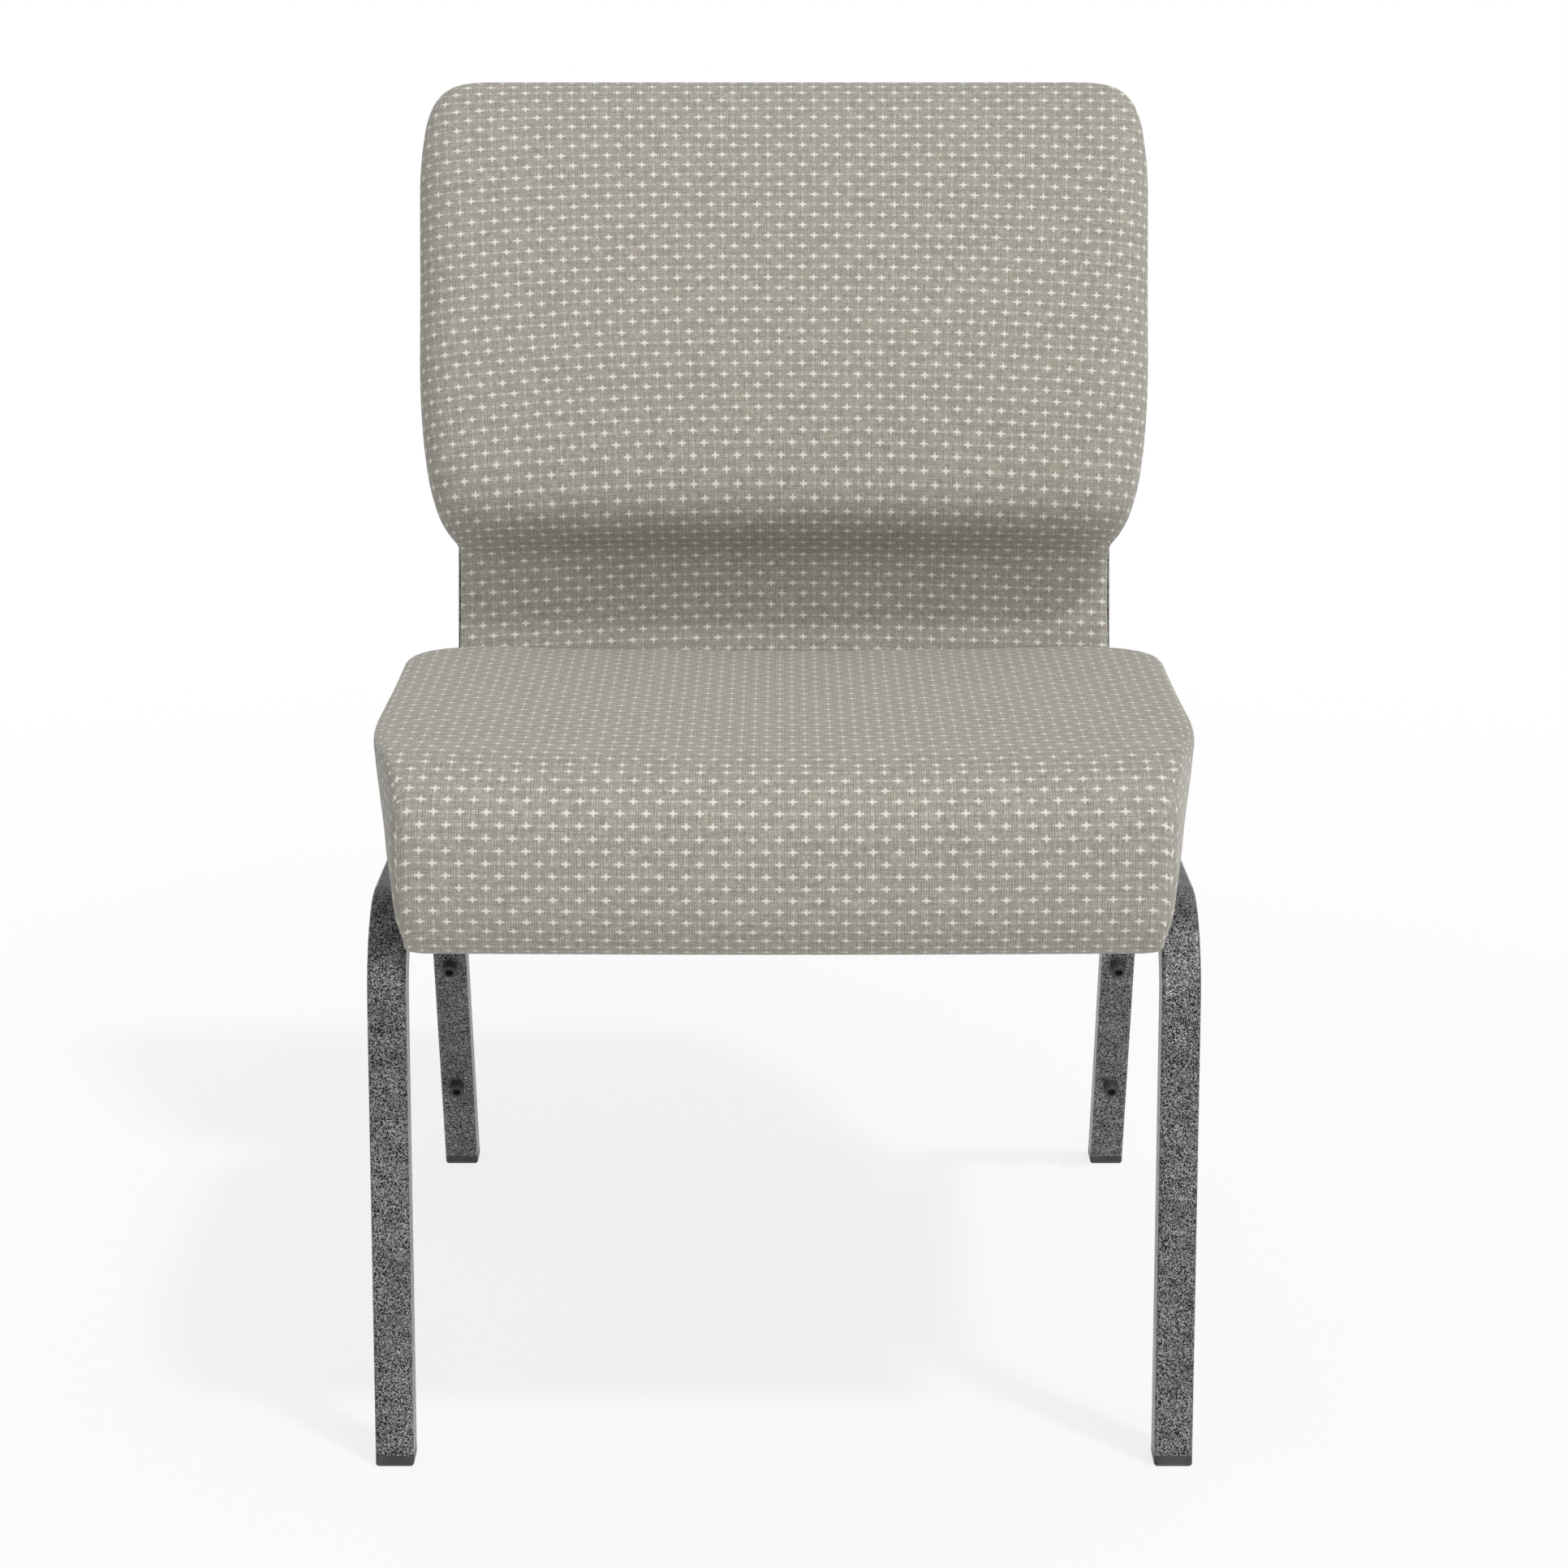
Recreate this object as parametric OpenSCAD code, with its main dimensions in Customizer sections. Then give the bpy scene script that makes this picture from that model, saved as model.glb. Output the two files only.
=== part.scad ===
// Stackable guest chair: two bent side frames, an upholstered seat nested between the rails,
// and an upholstered back on a bent hoop. The front faces -Y, and the chair stands on z = 0.

/* [Side frames] */
// Width over the outer faces of the two side frames
chair_w = 533; // [500:1:580]
// Side of the square tube of the side frames
tube = 25; // [22:0.5:28]
// Wall of the steel tubes
wall = 1.5; // [1:0.1:2]
// Outer corner radius of the tube's section
tube_round = 2.5; // [2:0.1:3.5]
// Depth on the floor, from the front feet's front to the rear feet's back
base_d = 604; // [570:1:640]
// Height of the rail's centre line at the front corner
rail_h = 359; // [330:1:390]
// Lean of the front legs, feet forward
front_lean = 4; // [2:0.25:6]
// Splay of the rear legs, feet rearward
rear_lean = 21; // [18:0.5:23]
// Fall of the rail and seat towards the rear
seat_fall = 2.8; // [1.5:0.1:4]
// Centre line radius of the two bends in each side frame
frame_bend_r = 52; // [44:1:60]

/* [Crossbars] */
// Width of the flat tubes under the seat
bar_w = 30; // [24:1:40]
// Height of the flat tubes under the seat
bar_h = 12; // [10:0.5:14]
// Distance of the front crossbar behind the frame's front corner
front_bar_u = 34; // [30:1:70]
// Distance of the rear crossbar ahead of the frame's rear corner
rear_bar_in = 31.6; // [28:0.1:36]
// Distance of the middle crossbar ahead of the rear crossbar
middle_bar_in = 90; // [76:1:120]

/* [Seat] */
// Reach of the seat's widest line past the side frames, on each side
seat_over = 2.5; // [0:0.5:8]
// How far the sides draw in below the rails' top, on each side
seat_foot_draw = 8.3; // [6:0.1:12]
// How far the front face's corners draw in at the underside
seat_face_draw = 9.5; // [6:0.5:14]
// Reach of the seat's nose ahead of the frame's front corner
seat_nose = 82.5; // [70:0.5:90]
// Gap between the seat's rear face and the rear crossbar
seat_rear_gap = 7.5; // [5:0.5:12]
// Thickness of the upholstered seat
seat_thick = 120.5; // [105:0.5:135]
// Height of the rail's top above the seat's underside
seat_nest = 17.5; // [16:0.5:19]
// Depth over which the front face rolls into the top
nose_round = 52; // [44:1:60]
// How far the rear face draws in at the underside
seat_rear_draw = 24; // [16:1:30]
// How far the middle of the seat is dished below its sides
seat_dish = 5; // [0:0.5:8]
// How far the front lip hangs below the underside
lip_drop = 5; // [2:0.5:6]
// Rise of the seat's front edge above the rest of the top
nose_rise = 4.8; // [0:0.1:7]

/* [Back] */
// Lean of the back
back_lean = 14.67; // [12:0.25:17]
// Length of the back above the rear crossbar, along the lean
back_h = 507.5; // [480:0.5:540]
// Share of the back's length that the thick pad takes
pad_share = 0.67; // [0.63:0.005:0.7]
// Reach of the pad past the hoop's uprights, on each side
pad_over = 25.5; // [16:0.5:36]
// How far the panel below the pad is narrower than the hoop, on each side
panel_in = 1.5; // [0.5:0.5:5]
// Foam and cover in front of the board at the thickest part of the pad
pad_thick = 78; // [62:1:84]
// Foam and cover in front of the board on the flat panel
panel_thick = 12; // [8:0.5:16]
// Crown of the pad's front across its width
pad_crown = 5; // [0:0.5:10]
// Height of the upholstery's lower edge above the rear crossbar
panel_foot = 12; // [8:1:20]
// Side of the square tube of the back hoop
hoop_tube = 22; // [20:0.5:24]
// Distance of the hoop's uprights inside the outer faces of the side frames
hoop_in = 29; // [27:0.5:32]
// Gap from the hoop's top to the pad's top
hoop_drop = 24; // [20:1:40]
// Centre line radius of the hoop's two bends
hoop_bend_r = 62; // [50:1:70]

/* [Boards and covers] */
// Thickness of the plywood seat board
seat_board_t = 12; // [10:0.5:15]
// Thickness of the plywood back board
back_board_t = 9; // [8:0.5:12]
// Thickness of the hardboard outer back
outer_board_t = 4; // [3:0.5:6]
// Thickness of the upholstery fabric with its backing
cover_t = 1.5; // [1.2:0.1:2]
// Thickness of the cloth under the seat
dust_t = 0.8; // [0.5:0.1:1.2]
// Width of the cover's turned-in edge under the seat and behind the back
wrap_w = 28; // [24:1:34]

/* [Feet and bumpers] */
// Height of the foot glides
glide_h = 7.7; // [6:0.1:12]
// Length of the glide's plug inside the leg
plug_h = 22; // [16:1:30]
// Diameter of a stacking bumper's head
bumper_d = 11.5; // [10:0.5:14]
// Length of a stacking bumper's head
bumper_h = 8; // [6:0.5:10]
// Diameter of the hollow in a bumper's head
bumper_hollow_d = 6; // [4:0.5:7]
// Height of the lower bumpers, measured along the leg from its foot
bumper_foot = 85; // [60:1:110]
// Spacing of the two bumpers along each rear leg
bumper_pitch = 118; // [90:1:130]

/* [Fasteners] */
// Thread diameter of the seat and back screws
screw_d = 6; // [5:0.5:7]
// Spacing of the seat screws across the chair
seat_screw_w = 300; // [240:5:360]
// Stem diameter of the clips that hold the outer back
clip_d = 7.5; // [6:0.5:9]

/* [Hidden] */
$fn = 64;

// Clearance between soft solids and what they lie against
soft_gap = 0.3;
// Clearance between the seat cushion's sides and the rails
nest_gap = 0.25;
// Running fit of stems, barrels and plugs in their holes
fit_gap = 0.15;
// Overrun of cutting solids
overrun = 10;
frame_col = [0.30, 0.30, 0.31];
fabric_col = [0.64, 0.62, 0.58];
foam_col = [0.93, 0.88, 0.68];
ply_col = [0.78, 0.63, 0.43];
black_col = [0.10, 0.10, 0.10];
steel_col = [0.72, 0.73, 0.75];

// Curve helpers
function ease(t) = let (c = min(1, max(0, t))) c * c * (3 - 2 * c);
function blend(a, b, t) = a + (b - a) * t;
function bow(a, b, c, t) = (1 - t) * (1 - t) * a + 2 * t * (1 - t) * b + t * t * c;
function toward(c, p, cut) = c + (p - c) * min(0.5, cut / norm(p - c));
function rounded_corner(p, c, q, cut, steps) =
    [for (i = [0:steps]) bow(toward(c, p, cut), c, toward(c, q, cut), i / steps)];
function edge_points(a, b, steps) = [for (i = [0:steps - 1]) blend(a, b, i / steps)];
function both_halves(right) =
    concat(right, [for (i = [len(right) - 2:-1:1]) [-right[i][0], right[i][1]]]);

// Solid skin over closed rings of equal length, each end closed by a fan round its middle
function ring_middle(ring) = [for (axis = [0:2]) [for (p = ring) p[axis]] * [for (p = ring) 1 / len(ring)]];
module ring_skin(rings) {
    count = len(rings[0]);
    last = len(rings) - 1;
    low = (last + 1) * count;
    points = concat([for (ring = rings) each ring], [ring_middle(rings[0]), ring_middle(rings[last])]);
    sides = [for (k = [0:last - 1], i = [0:count - 1])
        let (a = k * count + i, b = k * count + (i + 1) % count)
        each [[a, b + count, b], [a, a + count, b + count]]];
    ends = [for (i = [0:count - 1])
        let (next = (i + 1) % count)
        each [[i, next, low], [last * count + next, last * count + i, low + 1]]];
    polyhedron(points, concat(sides, ends), convexity = 6);
}

// Steel tube
module tube_section(side, radius) {
    square([side, side - 2 * radius], center = true);
    square([side - 2 * radius, side], center = true);
    for (x = [-1, 1], y = [-1, 1])
        translate([x * (side / 2 - radius), y * (side / 2 - radius)]) circle(r = radius);
}
module tube_ring(side, draw = 0) {
    difference() {
        tube_section(side - draw, tube_round - draw / 2);
        tube_section(side - 2 * wall + draw, tube_round - wall + draw / 2);
    }
}
function heading(p, q) = atan2(q[0] - p[0], q[1] - p[1]);
function turn_at(pts, i) = heading(pts[i], pts[i + 1]) - heading(pts[i - 1], pts[i]);
function setback(pts, i, radius) =
    i == 0 || i == len(pts) - 1 ? 0 : radius * tan(turn_at(pts, i) / 2);

// Length of the straight stretch that starts at point i
function straight_len(pts, i, radius) =
    norm(pts[i + 1] - pts[i]) - setback(pts, i, radius) - setback(pts, i + 1, radius);
// Tube up the Z axis from point i on, each bend and stretch carried by the one before it.
// The first child is the section of the stretches, the second the section of the bends
module tube_chain(pts, radius, lap, i) {
    straight = straight_len(pts, i, radius);
    ahead = i < len(pts) - 2 ? lap : 0;
    behind = i > 0 ? lap : 0;
    translate([0, 0, -behind]) linear_extrude(straight + behind + ahead) children(0);
    if (i < len(pts) - 2) translate([radius, 0, straight]) {
        turn = turn_at(pts, i + 1);
        rotate([90, 0, 180]) rotate_extrude(angle = turn) translate([radius, 0]) children(1);
        rotate([0, turn, 0]) translate([-radius, 0, 0]) tube_chain(pts, radius, lap, i + 1) {
            children(0);
            children(1);
        }
    }
}
// Tube in the XZ plane along pts, with a true bend at each inner point
module bent_tube(pts, radius, lap = 0) {
    translate([pts[0][0], 0, pts[0][1]]) rotate([0, heading(pts[0], pts[1]), 0])
        tube_chain(pts, radius, lap, 0) {
            children(0);
            children(1);
        }
}

// Side frame path, as depth behind the front feet's front face and height
front_run = tube / cos(front_lean);
rear_run = tube / cos(rear_lean);
front_foot_d = front_run / 2;
rear_foot_d = base_d - rear_run / 2;
corner_d = front_foot_d + rail_h * tan(front_lean);
rear_corner_h = (rail_h - (rear_foot_d - corner_d) * tan(seat_fall))
    / (1 - tan(rear_lean) * tan(seat_fall));
rear_corner_d = rear_foot_d - rear_corner_h * tan(rear_lean);

// Widths that follow the side frames, and places along the rails behind their front corner
seat_w = chair_w + 2 * seat_over;
seat_front_w = chair_w - 2 * tube;
hoop_w = chair_w - 2 * hoop_in;
panel_w = hoop_w - 2 * panel_in;
pad_w = hoop_w + 2 * pad_over;
rail_run = (rear_corner_d - corner_d) / cos(seat_fall);
rear_bar_u = rail_run - rear_bar_in;
middle_bar_u = rear_bar_u - middle_bar_in;
seat_rear = rear_bar_u - tube / 2 - seat_rear_gap;

// The seat's nose and the rear feet are equally far from the origin
nose_h_share = 0.55;
nose_d = corner_d - seat_nose * cos(seat_fall) + nose_h_share * seat_thick * sin(seat_fall);
mid_d = (base_d + nose_d) / 2;
frame_x = chair_w / 2 - tube / 2;
inner_x = chair_w / 2 - tube;

// Frame of the seat: x across, u rearward along the rail, w up from the rail's centre line
module at_seat() {
    translate([0, corner_d - mid_d, rail_h]) rotate([-seat_fall, 0, 0]) children();
}
// Frame of the rear legs: z up along the leg from its centre on the floor
module at_rear_leg(side) {
    translate([side * frame_x, rear_foot_d - mid_d, 0]) rotate([rear_lean, 0, 0]) children();
}
// Frame of the back: y rearward from the hoop's middle, z up the back
module at_back() {
    at_seat() translate([0, rear_bar_u, tube / 2]) rotate([seat_fall - back_lean, 0, 0]) children();
}

// Places along the rear legs and through the hoop
bumper_places = [bumper_foot, bumper_foot + bumper_pitch];
stem_share = 0.58;
stem_d = stem_share * bumper_d;
hoop_x = hoop_w / 2 - hoop_tube / 2;
hoop_top = back_h - hoop_drop - hoop_tube / 2;
hoop_start = -tube;
access_share = 2;
access_d = access_share * screw_d;
hole_d = screw_d + 2 * fit_gap;
pad_h = pad_share * back_h;
crease_v = back_h - pad_h;
back_screw_shares = [0.19, 0.66];
back_screw_places = [for (x = [-1, 1], s = back_screw_shares) [x * hoop_x, crease_v + s * pad_h]];
clip_shares = [0.25, 0.62];
clip_top_share = 0.4;
clip_x = hoop_x - clip_d / 2;
clip_places = concat(
    [for (x = [-1, 1], s = clip_shares) [x * clip_x, s * back_h]],
    [for (x = [-1, 1]) [x * clip_top_share * hoop_x, hoop_top]]
);

// The tube is drawn a hair thinner in its bends, and its straight stretches lap over them
bend_draw = 0.02;
bend_lap = 0.3;
module side_frame(side) {
    path = [
        [front_foot_d, 0],
        [corner_d, rail_h],
        [rear_corner_d, rear_corner_h],
        [rear_foot_d, 0]
    ];
    color(frame_col) difference() {
        translate([side * frame_x, -mid_d, 0]) rotate([0, 0, 90])
            bent_tube(path, frame_bend_r, bend_lap) {
                tube_ring(tube);
                tube_ring(tube, bend_draw);
            }
        translate([side * frame_x - tube, -base_d, glide_h - base_d])
            cube([2 * tube, 2 * base_d, base_d]);
        for (place = bumper_places)
            at_rear_leg(side) translate([0, -tube / 2 - overrun, place]) rotate([-90, 0, 0])
                cylinder(d = stem_d + 2 * fit_gap, h = overrun + 2 * wall);
    }
}
module left_side_frame() { side_frame(-1); }
module right_side_frame() { side_frame(1); }

// Crossbars
seat_bottom = tube / 2 - seat_nest;
bar_top = seat_bottom - dust_t;
bar_places = [front_bar_u, middle_bar_u];
screw_xs = [-seat_screw_w / 2, seat_screw_w / 2];
module flat_bar(u) {
    color(frame_col) at_seat() difference() {
        translate([-inner_x, u, bar_top - bar_h / 2]) rotate([90, 0, 90])
            linear_extrude(2 * inner_x) difference() {
                square([bar_w, bar_h], center = true);
                square([bar_w - 2 * wall, bar_h - 2 * wall], center = true);
            }
        for (x = screw_xs)
            translate([x, u, bar_top - bar_h - overrun]) cylinder(d = hole_d, h = bar_h + 2 * overrun);
    }
}
module front_crossbar() { flat_bar(front_bar_u); }
module middle_crossbar() { flat_bar(middle_bar_u); }
module rear_crossbar() {
    color(frame_col) at_seat() translate([-inner_x, rear_bar_u, 0]) rotate([90, 0, 90])
        linear_extrude(2 * inner_x) tube_ring(tube);
}

// Hoop of the back
hoop_path = [[-hoop_x, hoop_start], [-hoop_x, hoop_top], [hoop_x, hoop_top], [hoop_x, hoop_start]];
module back_hoop() {
    color(frame_col) difference() {
        at_back() difference() {
            bent_tube(hoop_path, hoop_bend_r) {
                tube_ring(hoop_tube);
                tube_ring(hoop_tube);
            }
            for (place = back_screw_places) translate([place[0], 0, place[1]]) rotate([90, 0, 0]) {
                cylinder(d = hole_d, h = hoop_tube);
                translate([0, 0, -hoop_tube]) cylinder(d = access_d, h = hoop_tube);
            }
            for (place = clip_places) translate([place[0], 0, place[1]]) rotate([-90, 0, 0])
                cylinder(d = clip_d + 2 * fit_gap, h = hoop_tube);
        }
        at_seat() translate([-chair_w / 2, rear_bar_u - 2 * tube, tube / 2 - 4 * tube])
            cube([chair_w, 4 * tube, 4 * tube]);
    }
}

// Seat cushion: one row per ring from the underside to the top edge, with the ring's height
// as a share of the thickness, then the shares of the nose's roll, of the sides' draw,
// of the front corners' draw and of the rear draw. The sides' share goes from 0 at the widest
// line to 1 beside the rails and on to 2 at the underside
seat_ring_shares = [
    [0.00, 0.66, 2.00, 0.65, 1.00],
    [0.03, 0.40, 1.56, 0.28, 0.98],
    [0.08, 0.20, 1.26, 0.36, 0.92],
    [0.146, 0.11, 1.00, 0.16, 0.86],
    [0.19, 0.07, 0.778, 0.05, 0.80],
    [0.27, 0.035, 0.532, -0.05, 0.70],
    [0.39, 0.01, 0.337, -0.10, 0.55],
    [0.535, 0.00, 0.26, -0.10, 0.38],
    [0.70, 0.015, 0.143, -0.05, 0.16],
    [0.79, 0.075, 0.078, -0.05, 0.04],
    [0.88, 0.26, 0.026, -0.15, 0.00],
    [0.935, 0.42, 0.00, -0.35, 0.00],
    [0.978, 0.67, 0.078, -0.60, 0.08],
    [1.00, 0.97, 0.415, -0.80, 0.36]
];
// How far each ring of the top is drawn in towards the seat's middle
seat_top_shares = [0.14, 0.40, 0.75];
seat_under_share = 0.10;
// Last ring of the top, close to its middle
seat_crest_share = 0.97;
// Place of the widest line's front end, and the cuts of the outline's corners
shoulder_share = 0.12;
front_cut_share = 0.03;
shoulder_cut_share = 0.13;
rear_cut_share = 0.12;
shoulder_u = shoulder_share * (seat_nose + seat_rear);
front_cut = front_cut_share * seat_front_w;
shoulder_cut = shoulder_cut_share * seat_w;
rear_cut = rear_cut_share * seat_w;
corner_steps = 3;
edge_steps = 3;
lip_len_share = 0.6;
lip_len = lip_len_share * seat_nose;
lip_u = -seat_nose + nose_round;
rise_share = 0.1;
rise_u = rise_share * seat_rear;
rise_len = seat_nose;

function seat_outline(front_half, side_half, front_u, rear_u) =
    let (
        nose = [0, front_u],
        face = [front_half, front_u],
        shoulder = [side_half, shoulder_u],
        hip = [side_half, rear_u],
        tail = [0, rear_u]
    )
    both_halves(concat(
        edge_points(nose, toward(face, nose, front_cut), edge_steps),
        rounded_corner(nose, face, shoulder, front_cut, corner_steps),
        rounded_corner(face, shoulder, hip, shoulder_cut, corner_steps),
        rounded_corner(shoulder, hip, tail, rear_cut, corner_steps),
        [tail]
    ));
function side_x(share) =
    share > 1
        ? inner_x - nest_gap - (share - 1) * seat_foot_draw
        : blend(seat_w / 2, inner_x - nest_gap, share);
function seat_row_outline(row, inset) = seat_outline(
    seat_front_w / 2 - row[3] * seat_face_draw - inset,
    side_x(row[2]) - inset,
    -seat_nose + row[1] * nose_round + inset,
    seat_rear - row[4] * seat_rear_draw - inset
);
function seat_form(p, h) =
    let (x_share = p[0] / (seat_w / 2), near_top = pow(h, 8), near_foot = pow(1 - h, 12))
    near_top * nose_rise * ease((rise_u - p[1]) / rise_len)
    - near_top * seat_dish * (1 - x_share * x_share)
    - near_foot * lip_drop * ease((lip_u - p[1]) / lip_len);
function seat_ring(row, inset, shrink) =
    let (
        outline = seat_row_outline(row, inset),
        middle = [0, (seat_rear - seat_nose) / 2],
        level = seat_bottom + inset + row[0] * (seat_thick - 2 * inset)
    )
    [for (p = outline) let (q = blend(p, middle, shrink)) [q[0], q[1], level + seat_form(q, row[0])]];
function flat_ring(ring, level) = [for (p = ring) [p[0], p[1], level]];
module seat_shape(inset) {
    first = seat_ring_shares[0];
    top_row = seat_ring_shares[len(seat_ring_shares) - 1];
    crest = seat_bottom + seat_thick - inset - seat_dish;
    ring_skin(concat(
        [flat_ring(seat_ring(first, inset, seat_under_share), seat_bottom + inset)],
        [for (row = seat_ring_shares) seat_ring(row, inset, 0)],
        [for (s = seat_top_shares) seat_ring(top_row, inset, s)],
        [flat_ring(seat_ring(top_row, inset, seat_crest_share), crest)]
    ));
}
// Flat blank that follows the seat's underside, set in by a margin
module seat_blank(margin, thickness, front_u) {
    row = seat_ring_shares[1];
    outline = seat_outline(
        seat_front_w / 2 - row[3] * seat_face_draw - margin,
        side_x(row[2]) - margin,
        front_u,
        seat_rear - row[4] * seat_rear_draw - margin
    );
    linear_extrude(thickness) polygon(outline);
}
board_margin = 9;
board_front = -seat_nose + nose_round + board_margin / 2;
board_low = seat_bottom + cover_t;
board_high = board_low + seat_board_t;
barrel_share = 1.35;
barrel_d = barrel_share * screw_d;
flange_share = 3.2;
flange_d = flange_share * screw_d;
flange_t = 1.5;
barrel_end = 2;

module at_seat_screws() {
    for (u = bar_places, x = screw_xs) translate([x, u, 0]) children();
}
module seat_board() {
    color(ply_col) at_seat() difference() {
        translate([0, 0, board_low]) seat_blank(board_margin, seat_board_t, board_front);
        at_seat_screws() translate([0, 0, board_low - overrun])
            cylinder(d = barrel_d + 2 * fit_gap, h = seat_board_t + 2 * overrun);
    }
}
module seat_foam() {
    color(foam_col) at_seat() difference() {
        seat_shape(cover_t + soft_gap);
        translate([0, 0, board_high - seat_thick])
            seat_blank(board_margin - soft_gap, seat_thick, board_front - soft_gap);
        at_seat_screws() translate([0, 0, board_high - overrun])
            cylinder(d = flange_d + 2 * soft_gap, h = overrun + flange_t + soft_gap, $fn = 16);
    }
}
module seat_cover() {
    color(fabric_col) at_seat() difference() {
        seat_shape(0);
        seat_shape(cover_t);
        translate([0, 0, seat_bottom - seat_thick])
            seat_blank(wrap_w, seat_thick + 2 * cover_t, board_front + wrap_w - board_margin);
    }
}
module seat_dust_cover() {
    margin = board_margin;
    color(black_col) at_seat() difference() {
        translate([0, 0, bar_top]) seat_blank(margin, dust_t, lip_u + margin);
        at_seat_screws() translate([0, 0, bar_top - overrun])
            cylinder(d = hole_d, h = dust_t + 2 * overrun);
    }
}

// Threaded insert with its flange at z = 0 and its barrel pointing down
module tnut(board_t) {
    difference() {
        union() {
            cylinder(d = flange_d, h = flange_t);
            translate([0, 0, barrel_end - board_t]) cylinder(d = barrel_d, h = board_t - barrel_end);
        }
        translate([0, 0, -board_t]) cylinder(d = hole_d, h = board_t + overrun);
    }
}
// Screw with the underside of its head at z = 0 and its shank pointing up
head_share = 1.8;
head_h_share = 0.6;
socket_share = 0.55;
socket_depth_share = 0.35;
module screw(length) {
    difference() {
        union() {
            cylinder(d = screw_d, h = length);
            translate([0, 0, -head_h_share * screw_d])
                cylinder(d = head_share * screw_d, h = head_h_share * screw_d);
        }
        translate([0, 0, -2 * head_h_share * screw_d])
            cylinder(d = socket_share * screw_d, h = (head_h_share + socket_depth_share) * screw_d, $fn = 6);
    }
}
module seat_tnuts() {
    color(steel_col) at_seat() at_seat_screws() translate([0, 0, board_high]) tnut(seat_board_t);
}
module seat_screws() {
    reach = board_high - flange_t - (bar_top - bar_h);
    color(steel_col) at_seat() at_seat_screws() translate([0, 0, bar_top - bar_h]) screw(reach);
}

// Back upholstery: y is measured rearward from the hoop's middle
board_back_y = -hoop_tube / 2;
board_face_y = board_back_y - back_board_t;
outer_y = hoop_tube / 2 + cover_t;
// One row per ring up the pad: its height as a share of the pad, its width from the panel's (0)
// to the pad's (1), its thickness from the panel's (0) to the pad's (1), and how far its rear
// has come round the hoop
pad_ring_shares = [
    [-0.095, 0.00, 0.005, 0.00],
    [-0.065, 0.00, 0.06, 0.00],
    [-0.035, 0.00, 0.155, 0.00],
    [-0.012, -0.01, 0.265, 0.00],
    [0.004, 0.03, 0.43, 0.10],
    [0.016, 0.135, 0.605, 0.30],
    [0.032, 0.27, 0.77, 0.80],
    [0.055, 0.425, 0.89, 1.00],
    [0.085, 0.55, 0.97, 1.00],
    [0.125, 0.68, 1.005, 1.00],
    [0.180, 0.79, 1.005, 1.00],
    [0.250, 0.885, 0.98, 1.00],
    [0.340, 0.955, 0.92, 1.00],
    [0.450, 0.977, 0.82, 1.00],
    [0.570, 0.995, 0.69, 1.00],
    [0.690, 1.03, 0.54, 1.00],
    [0.790, 1.04, 0.395, 1.00],
    [0.865, 0.97, 0.26, 1.00],
    [0.918, 0.845, 0.14, 1.00],
    [0.955, 0.62, 0.03, 1.00],
    [0.980, 0.49, -0.075, 0.95],
    [0.994, -0.33, -0.18, 0.86],
    [1.000, -0.60, -0.28, 0.74]
];
pad_side_cut_share = 0.62;
pad_cut_share = 0.07;
panel_cut_share = 0.35;
pad_cut_max = pad_cut_share * pad_w;
panel_corner_cut = panel_cut_share * panel_thick;
pad_edge_steps = 4;
pad_corner_steps = 3;
panel_corner_steps = 2;
function back_outline(half, front_y, rear_y, crown) =
    let (
        front_mid = [0, front_y],
        front_side = [half, front_y],
        rear_side = [half, rear_y],
        rear_mid = [0, rear_y],
        cut = min(pad_cut_max, max(panel_corner_cut, pad_side_cut_share * (rear_y - front_y - panel_thick)))
    )
    [for (p = both_halves(concat(
        edge_points(front_mid, toward(front_side, front_mid, cut), pad_edge_steps),
        rounded_corner(front_mid, front_side, rear_side, cut, pad_corner_steps),
        rounded_corner(front_side, rear_side, rear_mid, panel_corner_cut, panel_corner_steps),
        [rear_mid]
    ))) [p[0], p[1] - (p[1] < board_face_y ? crown * (1 - pow(p[0] / half, 2)) : 0)]];
function back_ring(v, half, front_y, rear_y, crown) =
    [for (p = back_outline(half, front_y, rear_y, crown)) [p[0], p[1], v]];
function pad_ring(row, inset) = back_ring(
    blend(crease_v, back_h - inset, row[0]),
    blend(panel_w, pad_w, row[1]) / 2 - inset,
    board_face_y - blend(panel_thick, pad_thick - pad_crown, row[2]) + inset,
    blend(board_back_y + cover_t, outer_y, row[3]) - inset,
    pad_crown * max(0, row[2])
);
function panel_ring(v, inset) = back_ring(
    v, panel_w / 2 - inset, board_face_y - panel_thick + inset, board_back_y + cover_t - inset, 0);
module back_shape(inset) {
    ring_skin(concat(
        [panel_ring(panel_foot + inset, inset)],
        [panel_ring(crease_v / 2, inset)],
        [for (row = pad_ring_shares) pad_ring(row, inset)]
    ));
}
// Flat outline of the back, set in by a margin, from its foot to its top
function back_profile(margin, foot_v) =
    let (
        rows = [for (row = pad_ring_shares)
            let (v = blend(crease_v, back_h - margin, row[0]))
            if (row[0] < 1 && v > foot_v) [blend(panel_w, pad_w, row[1]) / 2 - margin, v]],
        last = rows[len(rows) - 1],
        right = concat([[0, foot_v], [panel_w / 2 - margin, foot_v]], rows, [[0, last[1]]])
    )
    both_halves(right);
module back_blank(margin, foot_v, front_y, thickness) {
    translate([0, front_y + thickness, 0]) rotate([90, 0, 0])
        linear_extrude(thickness) polygon(back_profile(margin, foot_v));
}
back_margin = 8;
panel_margin = cover_t + soft_gap;
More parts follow.
